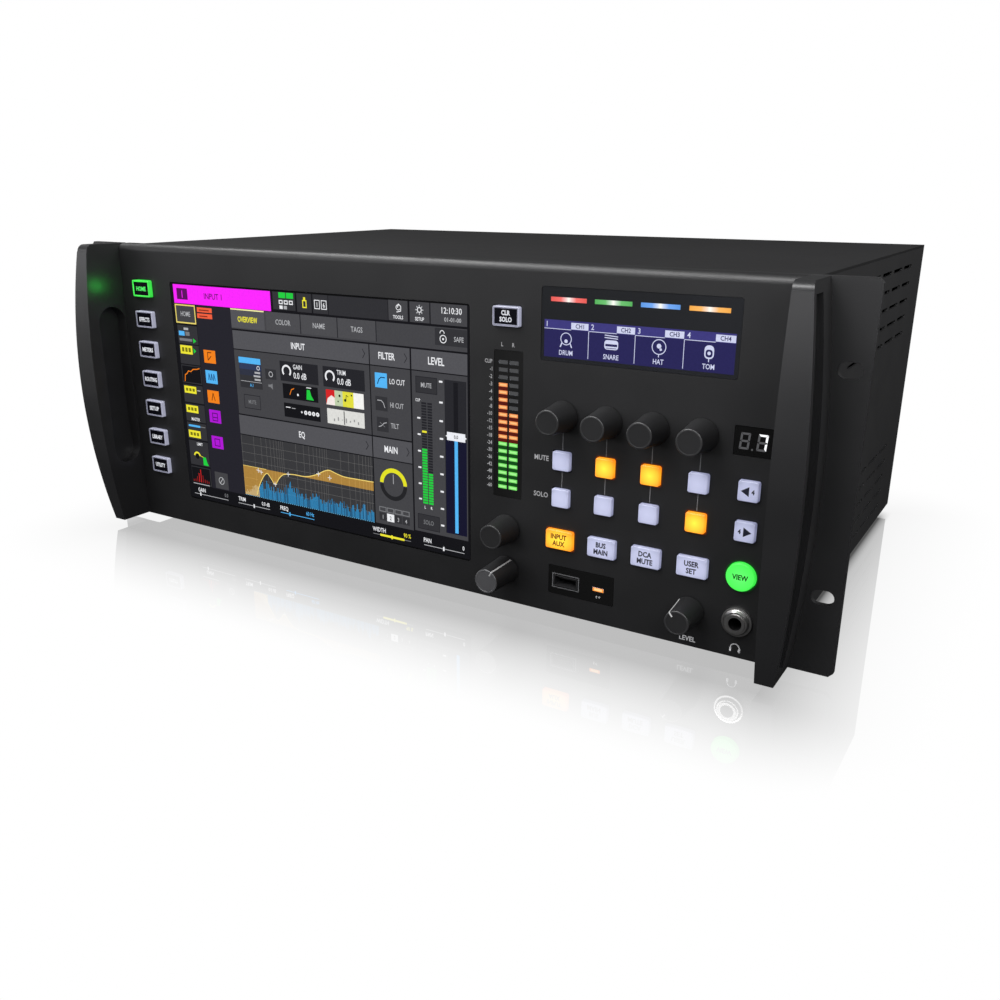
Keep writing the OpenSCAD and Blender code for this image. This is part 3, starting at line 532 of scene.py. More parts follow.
# ------------------------------------------------------------------ knobs
def knob(node, cx, cz, r1, r2, h, face_mat, pointer=None, ring=None):
    f_ = 0.55
    prof = [(0, 9.8), (2.95, 9.8), (2.95, -0.72), (r1 - 0.5, -0.72), (r1, -0.95), (r1, -1.5), (r1 - 0.12, -2.4)]
    steps = 8
    for k in range(1, steps + 1):
        t = k / steps
        prof.append((r1 - 0.12 + (r2 - r1 + 0.12) * t ** 0.85, -2.4 + (-h + f_ + 2.4) * t))
    for k in range(1, 6):
        a_ = math.radians(90 * k / 5)
        prof.append((r2 - f_ * (1 - math.cos(a_)), -h + f_ - f_ * math.sin(a_)))
    n_side = len(prof) - 1
    prof += [(r2 - 1.0, -h), (r2 - 1.1, -h + 0.08), (0.001, -h + 0.1), (0, -h + 0.1)]
    mats = [M["knob"], ring or M["knobrim"], face_mat]
    o = lathe("turned_" + node, cx, cz, prof, mats, lambda s: 0 if s < n_side - 3 else (1 if s < n_side + 1 else 2))
    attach(o, node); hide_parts(node)
    if pointer is not None:
        pa = math.radians(pointer)
        # painted light: on the black knobs the printed pointer line glows by emission; on the grey-faced knob it is
        # plain ink
        pointer_ink_and_glow = glow((205, 205, 205), 0.9) if ring is None else ink((150, 150, 150))
        v, fcs = [], []
        w_ = 0.38
        rows = [(r1 + 0.0, -2.0), (r1 - 0.02, -2.6)]
        for k in range(1, steps + 1):
            t = k / steps
            rows.append((r1 - 0.12 + (r2 - r1 + 0.12) * t ** 0.85 + 0.06, -2.4 + (-h + f_ + 2.4) * t))
        for k in range(1, 6):
            a_ = math.radians(90 * k / 5)
            rows.append((r2 - f_ * (1 - math.cos(a_)) + 0.05 * math.cos(a_), -h + f_ - f_ * math.sin(a_) - 0.05 * math.sin(a_)))
        rows.append((r2 - 2.6, -h - 0.05))
        for rad, y in rows:
            for s in (-1, 1):
                v.append(W(cx + rad * math.cos(pa) - s * w_ * math.sin(pa), y, cz + rad * math.sin(pa) + s * w_ * math.cos(pa)))
        for k in range(len(rows) - 1):
            fcs.append((2 * k, 2 * k + 1, 2 * k + 3, 2 * k + 2))
        p = mesh_obj("pointer_" + node, v, fcs, [pointer_ink_and_glow])
        bm = bmesh.new(); bm.from_mesh(p.data); bmesh.ops.recalc_face_normals(bm, faces=bm.faces); bm.to_mesh(p.data); bm.free()
        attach(p, node)
    return o

for i in range(4):
    knob("encoder_%d" % (i + 1), COL[i], ROW_ENC, 7.8, 6.3, 17.4, M["knob"])
knob("monitor_encoder", 71.2, ROW_BANK, 7.8, 6.5, 16.8, M["knob"])
metal_ring = painted("knob_face_grey", lin((66, 66, 68)), lin((92, 92, 94)), (0.28, 0.36), 900, 0.1, 0.00004, spec=0.8, metal=0.3)
knob("monitor_level_knob", 71.2, ROW_LOW, 7.4, 6.6, 21.2, metal_ring, pointer=60, ring=metal_ring)
knob("phones_level_knob", COL[3], ROW_LOW, 7.4, 6.2, 17.2, M["knob"], pointer=128)

# ------------------------------------------------------------------ printing on the panel
grey = ink((190, 190, 192))
# painted light: the panel's printed labels (MUTE, SOLO, LEVEL, L, R, meter marks) glow by emission, though they are
# print
lab = glow((170, 170, 172), 0.9)
dim = ink((112, 112, 114))
pr = Art("panel_printing", -0.012)
pr.text("MUTE", 95.0, ROW_MUTE - 1.2, 2.6, lab, 0, "r", 0.86, 0.06)
pr.text("SOLO", 95.0, ROW_SOLO - 1.2, 2.6, lab, 0, "r", 0.86, 0.06)
pr.text("LEVEL", COL[3], -85.9, 2.5, lab, 0, "c", 0.9, 0.06)
for i in range(4):
    pr.rect(COL[i] - 0.17, -0.6, COL[i] + 0.17, 8.4, dim)
    pr.rect(COL[i] - 0.17, -19.9, COL[i] + 0.17, -11.2, dim)
pr.text("L", 67.6, 47.6, 2.0, lab, 0, "c", 0.85, 0.05)
pr.text("R", 74.0, 47.6, 2.0, lab, 0, "c", 0.85, 0.05)
LED_Z = [39.7 - 3.8 * i for i in range(18)]
marks = ["CLIP", "-1", "-2", "-3", "-4", "-6", "-8", "-10", "-12", "-15", "-18", "-24", "-30", "-36", "-42", "-48", "-54", "-60"]
for z, s in zip(LED_Z, marks):
    pr.text(s, 61.9, z - 0.95, 1.95, lab, 0, "r", 0.82, 0.05)
# headphone symbol
hx, hz = COL[4], -84.2
pr.arc(hx, hz + 0.4, 1.9, 2.35, 0, 180, grey)
pr.rr(hx - 2.1, hz - 0.6, 1.1, 2.0, 0.4, grey)
pr.rr(hx + 2.1, hz - 0.6, 1.1, 2.0, 0.4, grey)
# thin dark bezels round the keys; round the lit keys the ring is painted light instead, an amber glow standing for
# light spilled from the key
bez = painted("key_bezel_black", (0.003, 0.003, 0.0035), (0.005, 0.005, 0.0055), (0.25, 0.35), 900, 0.1, 0.00004)
# painted light: amber glow for the rings round the lit keys
spill = glow((104, 44, 8), 0.9)
def bezel(cx, cz, w, h, t=0.45, m=None):
    o1, o2 = rrect(w + 0.62, h + 0.62, 1.1, 5), rrect(w + 0.62 + 2 * t, h + 0.62 + 2 * t, 1.1 + t, 5)
    for i in range(len(o1)):
        j = (i + 1) % len(o1)
        pr.poly([(cx + o1[i][0], cz + o1[i][1]), (cx + o2[i][0], cz + o2[i][1]), (cx + o2[j][0], cz + o2[j][1]), (cx + o1[j][0], cz + o1[j][1])], m or bez)
for i in range(5):
    bezel(COL[i], ROW_MUTE, 9.5, 9.5, m=spill if ("mute", i) in lit_sq else None)
    bezel(COL[i], ROW_SOLO, 9.5, 9.5, m=spill if ("solo", i) in lit_sq else None)
for i in range(4):
    bezel(COL[i], ROW_BANK, 15, 10, m=spill if i == 0 else None)
for z in MENU_Z:
    bezel(MENU_X, z, 15, 10)
bezel(70.7, 62.5, 14.8, 9.6)
# painted light: a green glow ring on the panel round the view key, standing for its spilled light
pr.arc(COL[4], ROW_BANK, 7.16, 7.7, 0, 360, glow((10, 84, 20), 0.9), 0, 64)
pr.build("unit", "panel_paint")

# ------------------------------------------------------------------ channel display
BLUE = glow((40, 37, 90), 0.9)
BLUE2 = glow((64, 60, 130), 0.9)
LW = glow((214, 218, 246), 0.95)
cd = Art("channel_display_picture", 0.18)
X0, X1, Z0, Z1 = 91.0, 184.9, 44.8, 62.5
cd.rect(X0, Z0, X1, Z1, BLUE)
cw = (X1 - X0) / 4
for i in range(4):
    x = X0 + cw * i
    cd.rect(x, 58.3, x + cw, Z1, BLUE2, 1)
    cd.rect(x, 58.15, x + cw - 9.2, 58.45, LW, 2)
    if i:
        cd.rect(x - 0.15, Z0 + 0.6, x + 0.15, 58.2, LW, 2)
    cd.text(str(i + 1), x + 1.2, 59.2, 2.5, LW, 2, "l", 0.9)
    cd.rect(x + cw - 9.2, 58.6, x + cw - 0.2, 61.7, LW, 2)
    cd.text("CH%d" % (i + 1), x + cw - 4.7, 59.2, 2.0, BLUE, 3, "c", 0.9)
    cd.text(["DRUM", "SNARE", "HAT", "TOM"][i], x + cw / 2, 46.2, 2.3, LW, 2, "c", 0.8)
cx = X0 + cw * 0.5      # drum
cd.arc(cx, 53.9, 2.6, 3.0, 0, 360, LW, 2, 32)
cd.disc(cx, 52.8, 0.9, LW, 2, 16)
cd.line([(cx - 2.2, 51.8), (cx - 3.0, 50.0)], 0.6, LW, 2); cd.line([(cx + 2.2, 51.8), (cx + 3.0, 50.0)], 0.6, LW, 2)
cx = X0 + cw * 1.5      # shallow drum with two sticks
cd.line([(cx - 3.4, 57.3), (cx + 3.2, 56.9)], 0.45, LW, 2); cd.line([(cx - 3.4, 56.2), (cx + 3.2, 55.9)], 0.45, LW, 2)
cd.rr(cx, 52.9, 7.0, 4.4, 1.4, LW, 2); cd.rect(cx - 3.0, 52.2, cx + 3.0, 53.3, BLUE, 3); cd.rect(cx - 2.6, 51.2, cx + 2.6, 51.5, BLUE, 3)
cx = X0 + cw * 2.5      # cymbal pair on a stand
cd.arc(cx, 54.0, 3.1, 3.5, 0, 360, LW, 2, 32); cd.disc(cx, 54.4, 1.1, LW, 2, 16); cd.disc(cx + 0.9, 52.9, 0.6, LW, 2, 12)
cd.line([(cx, 50.6), (cx, 49.4)], 0.4, LW, 2)
cx = X0 + cw * 3.5      # floor drum
cd.rr(cx, 53.7, 4.4, 6.0, 1.9, LW, 2); cd.rr(cx, 53.1, 3.2, 3.4, 1.2, BLUE, 3); cd.disc(cx, 53.2, 0.8, LW, 4, 12)
cd.line([(cx, 50.8), (cx, 49.4)], 0.4, LW, 2)
cd.build("unit", "dark_glass")

def bar_mat(name, c, cx_mm, half):
    m, nt, b = new_mat(name)
    tc = nt.nodes.new("ShaderNodeTexCoord")
    sep = nt.nodes.new("ShaderNodeSeparateXYZ")
    nt.links.new(tc.outputs["Object"], sep.inputs["Vector"])
    s1 = nt.nodes.new("ShaderNodeMath"); s1.operation = "SUBTRACT"; s1.inputs[1].default_value = W(cx_mm, 0, 0).x
    nt.links.new(sep.outputs["X"], s1.inputs[0])
    s2 = nt.nodes.new("ShaderNodeMath"); s2.operation = "ABSOLUTE"
    nt.links.new(s1.outputs["Value"], s2.inputs[0])
    s3 = nt.nodes.new("ShaderNodeMath"); s3.operation = "DIVIDE"; s3.inputs[1].default_value = half / 1000
    nt.links.new(s2.outputs["Value"], s3.inputs[0])
    l = lin(c)
    wht = [0.55 + 0.45 * x for x in l]
    mid = [min(1, 0.06 + 1.1 * x) for x in l]
    nt.links.new(ramp(nt, s3.outputs["Value"], [(0.0, [1, 1, 0.9]), (0.14, wht), (0.42, mid), (1.0, l)]), b.inputs["Emission Color"])
    b.inputs["Emission Strength"].default_value = 1.0
    b.inputs["Base Color"].default_value = (0.05, 0.05, 0.05, 1)
    b.inputs["Roughness"].default_value = 0.25
    return m
for i, c in enumerate(((226, 60, 48), (52, 168, 60), (64, 140, 222), (240, 160, 24))):
    bx = 103.5 + 22.85 * i
    a = Art("light_bar_glow_%d" % (i + 1), 0.27)
    a.rect(bx - 9.33, 71.06, bx + 9.33, 73.14, bar_mat("bar_%d" % (i + 1), c, bx, 9.4))
    a.build("unit", "light_guide")

# ------------------------------------------------------------------ level meter
mt = Art("meter_lights", 0.33)
mg = Art("meter_glow", 0.185)
# painted light: the unlit LED cells (OFF) glow grey by emission, standing for room light on their diffusers
OR, GR, OFF = glow((255, 150, 84), 1.0), glow((122, 232, 104), 1.0), glow((78, 79, 80), 0.9)
ORC, GRC = glow((255, 196, 130), 1.0), glow((170, 250, 150), 1.0)
# painted light: DR and DG are dim glows drawn on the black mask between the lit LEDs, standing for their spilled light
DR, DG = glow((98, 22, 6), 0.8), glow((8, 84, 14), 0.8)
for i, z in enumerate(LED_Z):
    for x, first in ((68.1, 3), (74.3, 7)):
        if i < first:
            m1 = m2 = OFF
        elif i < 11:
            m1, m2 = OR, ORC
        else:
            m1, m2 = GR, GRC
        mt.rect(x - 2.5, z - 0.93, x + 2.5, z + 0.93, m1)
        if m1 is not OFF:
            mt.rect(x - 1.9, z - 0.45, x + 1.9, z + 0.45, m2, 1)
# painted light spill on the mask between lit LEDs
for x, first in ((68.1, 3), (74.3, 7)):
    for i in range(first, 18):
        z = LED_Z[i]
        m1 = DR if i < 11 else DG
        if i + 1 < 18:
            mg.rect(x - 2.6, LED_Z[i + 1] + 1.02, x + 2.6, z - 1.02, m1)
mt.build("unit", "led_window")
mg.build("unit", "black_plastic")

# ------------------------------------------------------------------ two-digit display
dg = Art("digits", 0.235)
# painted light: the unlit segments and the point (SEG_OFF) glow grey by emission, standing for room light on them
SEG_OFF, SEG_ON = glow((88, 88, 90), 0.9), glow((250, 252, 255), 1.15)
def seven(cx, cz, w, h, on, t=0.95, slant=0.09):
    def P(x, z):
        return (cx + x + z * slant, cz + z)
    a_, b_ = w / 2, h / 2
    g = 0.14
    segs = {"a": [(-a_ + g, b_), (a_ - g, b_), (a_ - t, b_ - t), (-a_ + t, b_ - t)],
            "d": [(-a_ + t, -b_ + t), (a_ - t, -b_ + t), (a_ - g, -b_), (-a_ + g, -b_)],
            "f": [(-a_, b_ - g), (-a_ + t, b_ - t - g), (-a_ + t, t / 2 + g), (-a_, g)],
            "e": [(-a_, -g), (-a_ + t, -t / 2 - g), (-a_ + t, -b_ + t + g), (-a_, -b_ + g)],
            "b": [(a_ - t, b_ - t - g), (a_, b_ - g), (a_, g), (a_ - t, t / 2 + g)],
            "c": [(a_ - t, -t / 2 - g), (a_, -g), (a_, -b_ + g), (a_ - t, -b_ + t + g)],
            "g": [(-a_ + t, -t / 2), (a_ - t, -t / 2), (a_ - t * 0.5, 0), (a_ - t, t / 2), (-a_ + t, t / 2), (-a_ + t * 0.5, 0)]}
    for k, pts in segs.items():
        pts = [P(*p) for p in pts]
        area = sum(pts[i][0] * pts[(i + 1) % len(pts)][1] - pts[(i + 1) % len(pts)][0] * pts[i][1] for i in range(len(pts)))
        if area < 0:
            pts.reverse()
        dg.poly(pts, SEG_ON if k in on else SEG_OFF)
seven(192.4, 16.3, 4.4, 7.6, "")
seven(200.2, 16.3, 4.4, 7.6, "abc")
dg.disc(195.9, 12.7, 0.45, SEG_OFF, 0, 12)
dg.build("unit", "black_gloss")

# ------------------------------------------------------------------ USB plate
us = Art("usb_plate_details", 0.085)
us.frame(106.3 - 7.7, -70.1 - 4.0, 106.3 + 7.7, -70.1 + 4.0, 0.55, ink((88, 88, 90)))
us.text("5 V", 124.9, -75.0, 1.3, ink((190, 190, 190)), 0, "c", 0.9)
us.build("unit", "black_gloss")
ul = Art("usb_lamp", -0.115)
ul.rect(121.9, -71.15, 127.8, -69.25, glow((255, 150, 50), 1.1))
ul.rect(122.7, -70.8, 127.0, -69.6, glow((255, 206, 140), 1.1), 1)
ul.build("unit", "light_guide")

# black liner in the mouth of the headphone socket, closed by a dark disc at its far end
liner = lathe("phones_liner", 196.5, -70.0, [(3.17, 9.0), (3.17, -3.3), (3.15, -3.55)], [M["dark"]])
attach(liner, "unit")
plug_end = lathe("phones_liner_end", 196.5, -70.0, [(3.15, 8.8), (0, 8.8)], [M["dark"]])
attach(plug_end, "unit")

# ------------------------------------------------------------------ touch screen picture
g1 = glow((84, 84, 88), 0.95)      # headings
g2 = glow((68, 68, 71), 0.95)      # fields
g3 = glow((50, 50, 53), 0.95)      # sunk boxes
g4 = glow((34, 34, 38), 0.95)
bk = glow((14, 14, 17), 0.9)
nav = glow((35, 34, 42), 0.9)
wt = glow((238, 239, 242), 1.0)
md = glow((182, 183, 186), 0.95)
lo = glow((124, 125, 128), 0.95)
yl = glow((240, 232, 52), 1.0)
mag = glow((246, 34, 248), 1.06)
magd = glow((96, 8, 98), 0.9)
cyn = glow((84, 182, 246), 1.0)
orr = glow((244, 130, 22), 1.0)
pur = glow((176, 20, 214), 1.0)
grn = glow((30, 206, 62), 1.0)
red = glow((214, 34, 34), 1.0)
coral = glow((244, 96, 60), 1.0)
amb = glow((176, 134, 62), 0.95)
ambl = glow((252, 222, 120), 1.0)
spe = glow((42, 142, 198), 0.95)
spd = glow((28, 104, 150), 0.95)
nvb = glow((17, 17, 44), 0.9)
s = Art("touch_screen_picture", 0.185, 0.011)
s.rect(-169, -69.8, 48, 65.9, bk)
s.rect(-148.2, -60.8, -118.9, 54.3, nav, 1)
# header bar
s.rect(-166.2, 54.6, -86.3, 65.8, mag, 1)
s.rect(-163.4, 57.0, -154.2, 63.6, magd, 2)
s.text("1", -158.8, 58.0, 4.4, mag, 3, "c")
s.text("INPUT 1", -140, 58.4, 3.4, magd, 2, "l", 0.9)
for x in (-79.9, -74.1):
    s.rect(x, 62.5, x + 5.2, 65.6, grn, 2)
s.rect(-84.5, 55.9, -67.6, 65.8, g3, 1)
for k in range(3):
    s.frame(-79.9 + 3.8 * k, 59.1, -77.0 + 3.8 * k, 61.4, 0.6, wt, 2)
s.rect(-79.6, 56.4, -77.2, 58.3, wt, 2); s.rect(-76.4, 56.4, -74.0, 58.3, md, 2)
s.rect(-66.4, 55.6, -55.6, 65.9, g3, 1)
s.frame(-62.3, 58.0, -59.2, 62.4, 0.65, yl, 2); s.rect(-61.5, 62.4, -60.0, 63.9, yl, 2)
s.rect(-54.6, 55.6, -43.8, 65.9, g3, 1)
s.rect(-43.4, 55.4, -2.8, 65.9, glow((46, 46, 49), 0.95), 1)
for k, t in enumerate("16"):
    s.frame(-53.6 + 4.9 * k, 58.0, -49.6 + 4.9 * k, 63.0, 0.45, wt, 2)
    s.text(t, -51.6 + 4.9 * k, 59.1, 2.6, wt, 2, "c")
for x0, t in ((-2.4, "TOOLS"), (11.4, "SETUP")):
    s.rect(x0, 55.5, x0 + 12.5, 66.0, g2, 1)
    s.text(t, x0 + 6.25, 56.5, 1.8, wt, 2, "c", 0.8)
s.line([(3.0, 60.0), (5.6, 60.6), (5.8, 63.0), (4.2, 64.2), (3.6, 62.4)], 0.45, wt, 2); s.arc(4.0, 62.4, 1.1, 1.5, 60, 330, wt, 2, 18)
s.arc(17.6, 62.0, 1.0, 1.45, 0, 360, wt, 2, 20)
for k in range(8):
    p = math.radians(45 * k)
    s.line([(17.6 + 1.5 * math.cos(p), 62.0 + 1.5 * math.sin(p)), (17.6 + 2.4 * math.cos(p), 62.0 + 2.4 * math.sin(p))], 0.6, md, 2)
s.rect(24.6, 55.4, 46.9, 66.0, g2, 1)
s.text("12:10:30", 37.6, 61.2, 3.1, wt, 2, "c", 0.86, 0.04)
s.text("01-01-00", 38.2, 57.2, 2.1, md, 2, "c", 0.95)
# tab row
s.rect(-118.9, 42.6, 46.9, 54.2, g2, 1)
s.rect(-118.9, 43.2, -92.2, 53.8, g1, 2); s.rect(-118.9, 53.6, -92.2, 54.3, glow((250, 244, 170), 1.0), 3)
s.text("OVERVIEW", -105.6, 46.9, 3.1, yl, 3, "c", 0.72, 0.11)
for x0, x1, t in ((-90.9, -64.8, "COLOR"), (-64.2, -38.0, "NAME"), (-37.5, -11.2, "TAGS")):
    s.rect(x0, 43.6, x1 - 0.2, 54.2, glow((76, 76, 79), 0.95), 2)
    s.text(t, (x0 + x1) / 2, 47.4, 2.9, md, 3, "c", 0.8)
    s.rect(x1 - 0.2, 43.4, x1 + 0.4, 54.2, g4, 3)
s.rect(27.1, 44.9, 46.8, 53.7, g3, 2)
s.arc(32.2, 48.2, 1.7, 2.15, 0, 360, wt, 3, 24); s.arc(31.6, 51.2, 1.1, 1.5, -10, 190, wt, 3, 12); s.disc(32.2, 48.2, 0.6, wt, 3, 12)
s.text("SAFE", 41.8, 47.4, 2.5, md, 3, "c", 0.8)
# left module strip
s.frame(-166.2, 42.6, -148.8, 54.0, 0.8, glow((236, 216, 110), 1.0), 2); s.rect(-165.4, 43.4, -149.6, 53.2, g2, 2)
s.text("HOME", -157.5, 47.0, 2.9, md, 3, "c", 0.72)
s.rect(-147.1, 50.3, -134.5, 53.1, coral, 2); s.rect(-147.3, 46.7, -134.6, 49.5, coral, 2)
s.rect(-145.5, 51.2, -137.0, 51.9, glow((130, 40, 24), 1), 3); s.rect(-145.5, 47.6, -138.5, 48.3, glow((130, 40, 24), 1), 3)
def tile(z0, z1):
    s.rect(-165.8, z0, -148.6, z1, g3, 1)
tile(30.2, 41.4); tile(17.6, 29.6); tile(5.6, 16.9); tile(-6.6, 4.6); tile(-18.8, -7.6); tile(-30.4, -19.6); tile(-47.4, -31.4); tile(-60.4, -48.6)
s.rect(-165.0, 35.0, -160.0, 37.8, cyn, 2); s.rect(-159.2, 35.2, -155.6, 37.6, lo, 2); s.rect(-160.4, 38.6, -156.4, 40.0, md, 2)
s.rect(-164.8, 31.8, -153.8, 33.4, lo, 2); s.poly([(-152.9, 30.9), (-150.3, 32.4), (-152.9, 33.9)], grn, 2)
for z0, z1 in ((23.8, 29.1), (-0.8, 3.7), (-13.2, -8.5), (-29.4, -24.7)):
    s.rect(-165.0, z0, -154.4, z1, yl, 2)
    for k in range(3):
        s.rect(-163.6 + 2.9 * k, z0 + 1.3, -161.6 + 2.9 * k, z1 - 1.3, glow((120, 116, 16), 1), 3)
s.poly([(-153.4, 24.6), (-151.2, 26.2), (-153.4, 27.8)], grn, 2)
s.rect(-153.6, 1.2, -150.8, 1.8, md, 2)
s.rect(-165.2, 6.2, -149.2, 16.3, bk, 2)
s.line([(-163.6, 6.6), (-163.0, 10.6), (-161.2, 11.6), (-159.8, 13.3), (-157.6, 13.0), (-155.6, 14.6), (-152.6, 14.9), (-149.9, 15.6)], 0.6, orr, 3)
s.text("MASTER", -157.4, -18.2, 2.0, wt, 2, "c", 0.72)
s.rect(-164.4, -22.4, -154.1, -21.1, cyn, 2); s.rect(-154.0, -22.0, -149.6, -21.5, lo, 2)
s.text("LIMIT", -156.0, -34.2, 1.9, wt, 2, "c", 0.8)
s.arc(-159.2, -41.6, 2.0, 3.1, 10, 170, yl, 2, 14); s.disc(-159.2, -41.6, 1.7, bk, 2, 16)
s.line([(-156.2, -41.0), (-153.6, -41.6)], 0.4, yl, 2)
s.poly([(-154.2, -46.8), (-149.6, -46.8), (-150.8, -44.6), (-151.8, -41.4), (-154.2, -41.4)], grn, 2)
s.rect(-165.6, -59.6, -149.4, -49.2, bk, 2)
for k in range(9):
    s.rect(-164.8 + 1.7 * k, -58.8, -164.2 + 1.7 * k, -57.6 + [0.2, 0.5, 2.4, 4.8, 7.4, 3.6, 1.2, 0.8, 0.3][k], glow((150, 24, 24), 1) if k not in (3, 4) else red, 3)
s.rect(-165.2, -60.4, -150.6, -59.9, md, 3)
for (z0, z1, c) in ((19.9, 27.8, orr), (7.4, 15.4, cyn), (-4.8, 3.0, orr), (-17.3, -9.2, pur), (-33.8, -25.9, pur)):
    s.rect(-144.7, z0, -134.8, z1, c, 2)
dk = glow((110, 52, 6), 1); dc = glow((20, 70, 120), 1); dp = glow((84, 6, 108), 1)
s.line([(-141.4, 21.6), (-141.4, 26.4), (-138.2, 26.4)], 0.6, dk, 3); s.line([(-141.4, 21.6), (-138.6, 24.2)], 0.6, dk, 3)
for k in range(3):
    s.line([(-142.4 + 2.1 * k, 9.4), (-141.8 + 2.1 * k, 13.4), (-140.9 + 2.1 * k, 9.6)], 0.55, dc, 3)
s.line([(-141.2, -3.2), (-139.8, 1.4), (-138.4, -3.2)], 0.6, dk, 3)
s.frame(-142.2, -16.2, -137.4, -11.0, 0.6, dp, 3); s.rect(-141.8, -14.2, -137.8, -13.6, dp, 3)
s.frame(-142.2, -32.4, -137.4, -27.4, 0.6, dp, 3)
s.rect(-144.9, -60.3, -133.4, -49.4, g2, 2); s.arc(-139.2, -54.9, 2.0, 2.5, 0, 360, md, 3, 20)
s.line([(-140.6, -56.6), (-137.8, -53.2)], 0.55, md, 3)
# main block: headings
for (x0, x1, t, tx, h) in ((-118.7, -16.7, "INPUT", -67.6, 3.6), (-16.0, 10.7, "FILTER", -4.6, 3.7), (11.7, 46.9, "LEVEL", 27.6, 3.9)):
    s.rect(x0, 30.8, x1, 41.6, g1, 1)
    s.text(t, tx, 34.4, h, wt, 2, "c", 0.72, 0.10)
for x, z in ((-21.0, 36.2), (7.2, 36.2), (-21.0, -15.2), (7.2, -15.2)):
    s.line([(x, z + 2.4), (x + 1.6, z), (x, z - 2.4)], 0.4, g4, 2)
s.rect(-118.7, -8.6, -16.7, 30.2, g2, 1)
s.rect(-16.0, -8.6, 10.7, 30.2, g2, 1)
s.rect(11.7, -59.4, 46.9, 30.2, g2, 1)
s.rect(-118.9, -21.2, -16.7, -9.4, g1, 1); s.text("EQ", -68.6, -17.2, 3.6, wt, 2, "c", 0.72, 0.10)
s.rect(-16.0, -21.2, 10.7, -9.4, g1, 1); s.text("MAIN", -3.6, -17.2, 3.7, wt, 2, "c", 0.72, 0.10)
# input block
s.rect(-115.4, 22.7, -97.8, 26.2, cyn, 2); s.rect(-115.4, 8.0, -97.3, 22.7, g3, 2)
s.rect(-115.2, 19.2, -97.5, 22.6, glow((48, 60, 92), 0.95), 3); s.rect(-115.2, 15.6, -97.5, 19.2, glow((46, 50, 66), 0.95), 3)
s.arc(-99.9, 20.6, 0.9, 1.25, 0, 360, wt, 4, 14)
for k, w in enumerate((4.4, 5.4, 4.8)):
    s.rect(-98.6 - w, 17.2 - 2.1 * k, -98.6, 18.3 - 2.1 * k, md, 4)
s.rect(-114.8, 11.8, -97.8, 12.1, md, 4); s.text("A.1", -106.2, 9.0, 1.9, cyn, 4, "c", 0.8)
s.rect(-94.4, 15.0, -85.8, 21.0, g3, 2); s.arc(-90.1, 18.0, 1.2, 1.7, 0, 360, md, 3, 18)
s.poly([(-92.6, 10.4), (-91.0, 10.4), (-89.2, 9.0), (-89.2, 12.6), (-91.0, 11.8), (-92.6, 11.8)], lo, 3)
for x0, x1, t in ((-82.5, -53.6, "GAIN"), (-50.0, -20.2, "TRIM")):
    s.rect(x0, 15.2, x1, 26.8, g4, 2)
    s.arc(x0 + 5.0, 21.2, 2.5, 3.6, -45, 225, wt, 3, 26)
    s.text(t, x0 + 10.2, 22.8, 2.7, wt, 3, "l", 0.75, 0.03)
    s.text("0.0 dB", x0 + 10.2, 17.4, 3.6, wt, 3, "l", 0.75, 0.06)
s.rect(-81.3, 5.0, -54.5, 13.8, bk, 2)
s.line([(-76.0, 7.6), (-74.6, 10.6), (-72.6, 11.4)], 0.5, orr, 3); s.disc(-69.8, 8.0, 0.7, wt, 3, 12)
s.poly([(-63.4, 6.0), (-57.8, 6.0), (-59.6, 8.6), (-60.6, 11.8), (-62.8, 11.8)], grn, 3); s.rect(-63.0, 12.7, -59.4, 13.2, wt, 3)
s.rect(-81.2, -6.0, -53.5, 2.4, bk, 2)
s.rect(-79.8, -0.4, -76.2, 0.1, wt, 3); s.rect(-75.2, -0.6, -72.4, -0.2, md, 3)
for k in range(5):
    s.disc(-67.6 + 3.0 * k, -1.9, 1.25 if k else 0.6, wt, 3, 16)
    if k:
        s.disc(-67.6 + 3.0 * k, -1.9, 0.45, lo, 4, 10)
s.rect(-48.5, 5.0, -21.4, 13.7, red, 2); s.rect(-42.2, 5.0, -36.4, 13.7, glow((190, 206, 170), 1), 3); s.rect(-36.4, 5.0, -28.6, 13.7, glow((226, 222, 60), 1), 3); s.rect(-28.6, 5.0, -21.4, 13.7, glow((244, 244, 240), 1), 3)
s.poly([(-48.5, 5.0), (-42.2, 5.0), (-42.2, 9.4), (-44.6, 10.6), (-47.4, 8.6)], glow((244, 232, 228), 1), 3)
for x, z, r_ in ((-38.6, 10.9, 0.8), (-34.6, 8.8, 0.9), (-30.0, 12.0, 0.55), (-39.8, 7.6, 0.5)):
    s.disc(x, z, r_, glow((40, 60, 30), 1), 4, 12)
s.line([(-34.0, 9.0), (-33.8, 11.8), (-32.4, 11.0)], 0.4, glow((40, 60, 30), 1), 4)
s.rect(-48.3, -5.8, -21.4, 2.9, glow((226, 226, 222), 0.95), 2)
for k in range(7):
    s.rect(-43.6 + 2.9 * k, -4.2 + 0.6 * (k % 3), -42.7 + 2.9 * k, -2.6 + 1.1 * (k % 2), glow((150, 150, 150), 1), 3)
s.rect(-36.2, -5.4, -35.5, 2.4, glow((90, 90, 90), 1), 3)
s.frame(-113.4, -4.6, -100.0, 3.9, 0.4, g4, 2); s.text("MUTE", -106.7, -1.5, 2.3, lo, 2, "c", 0.75)
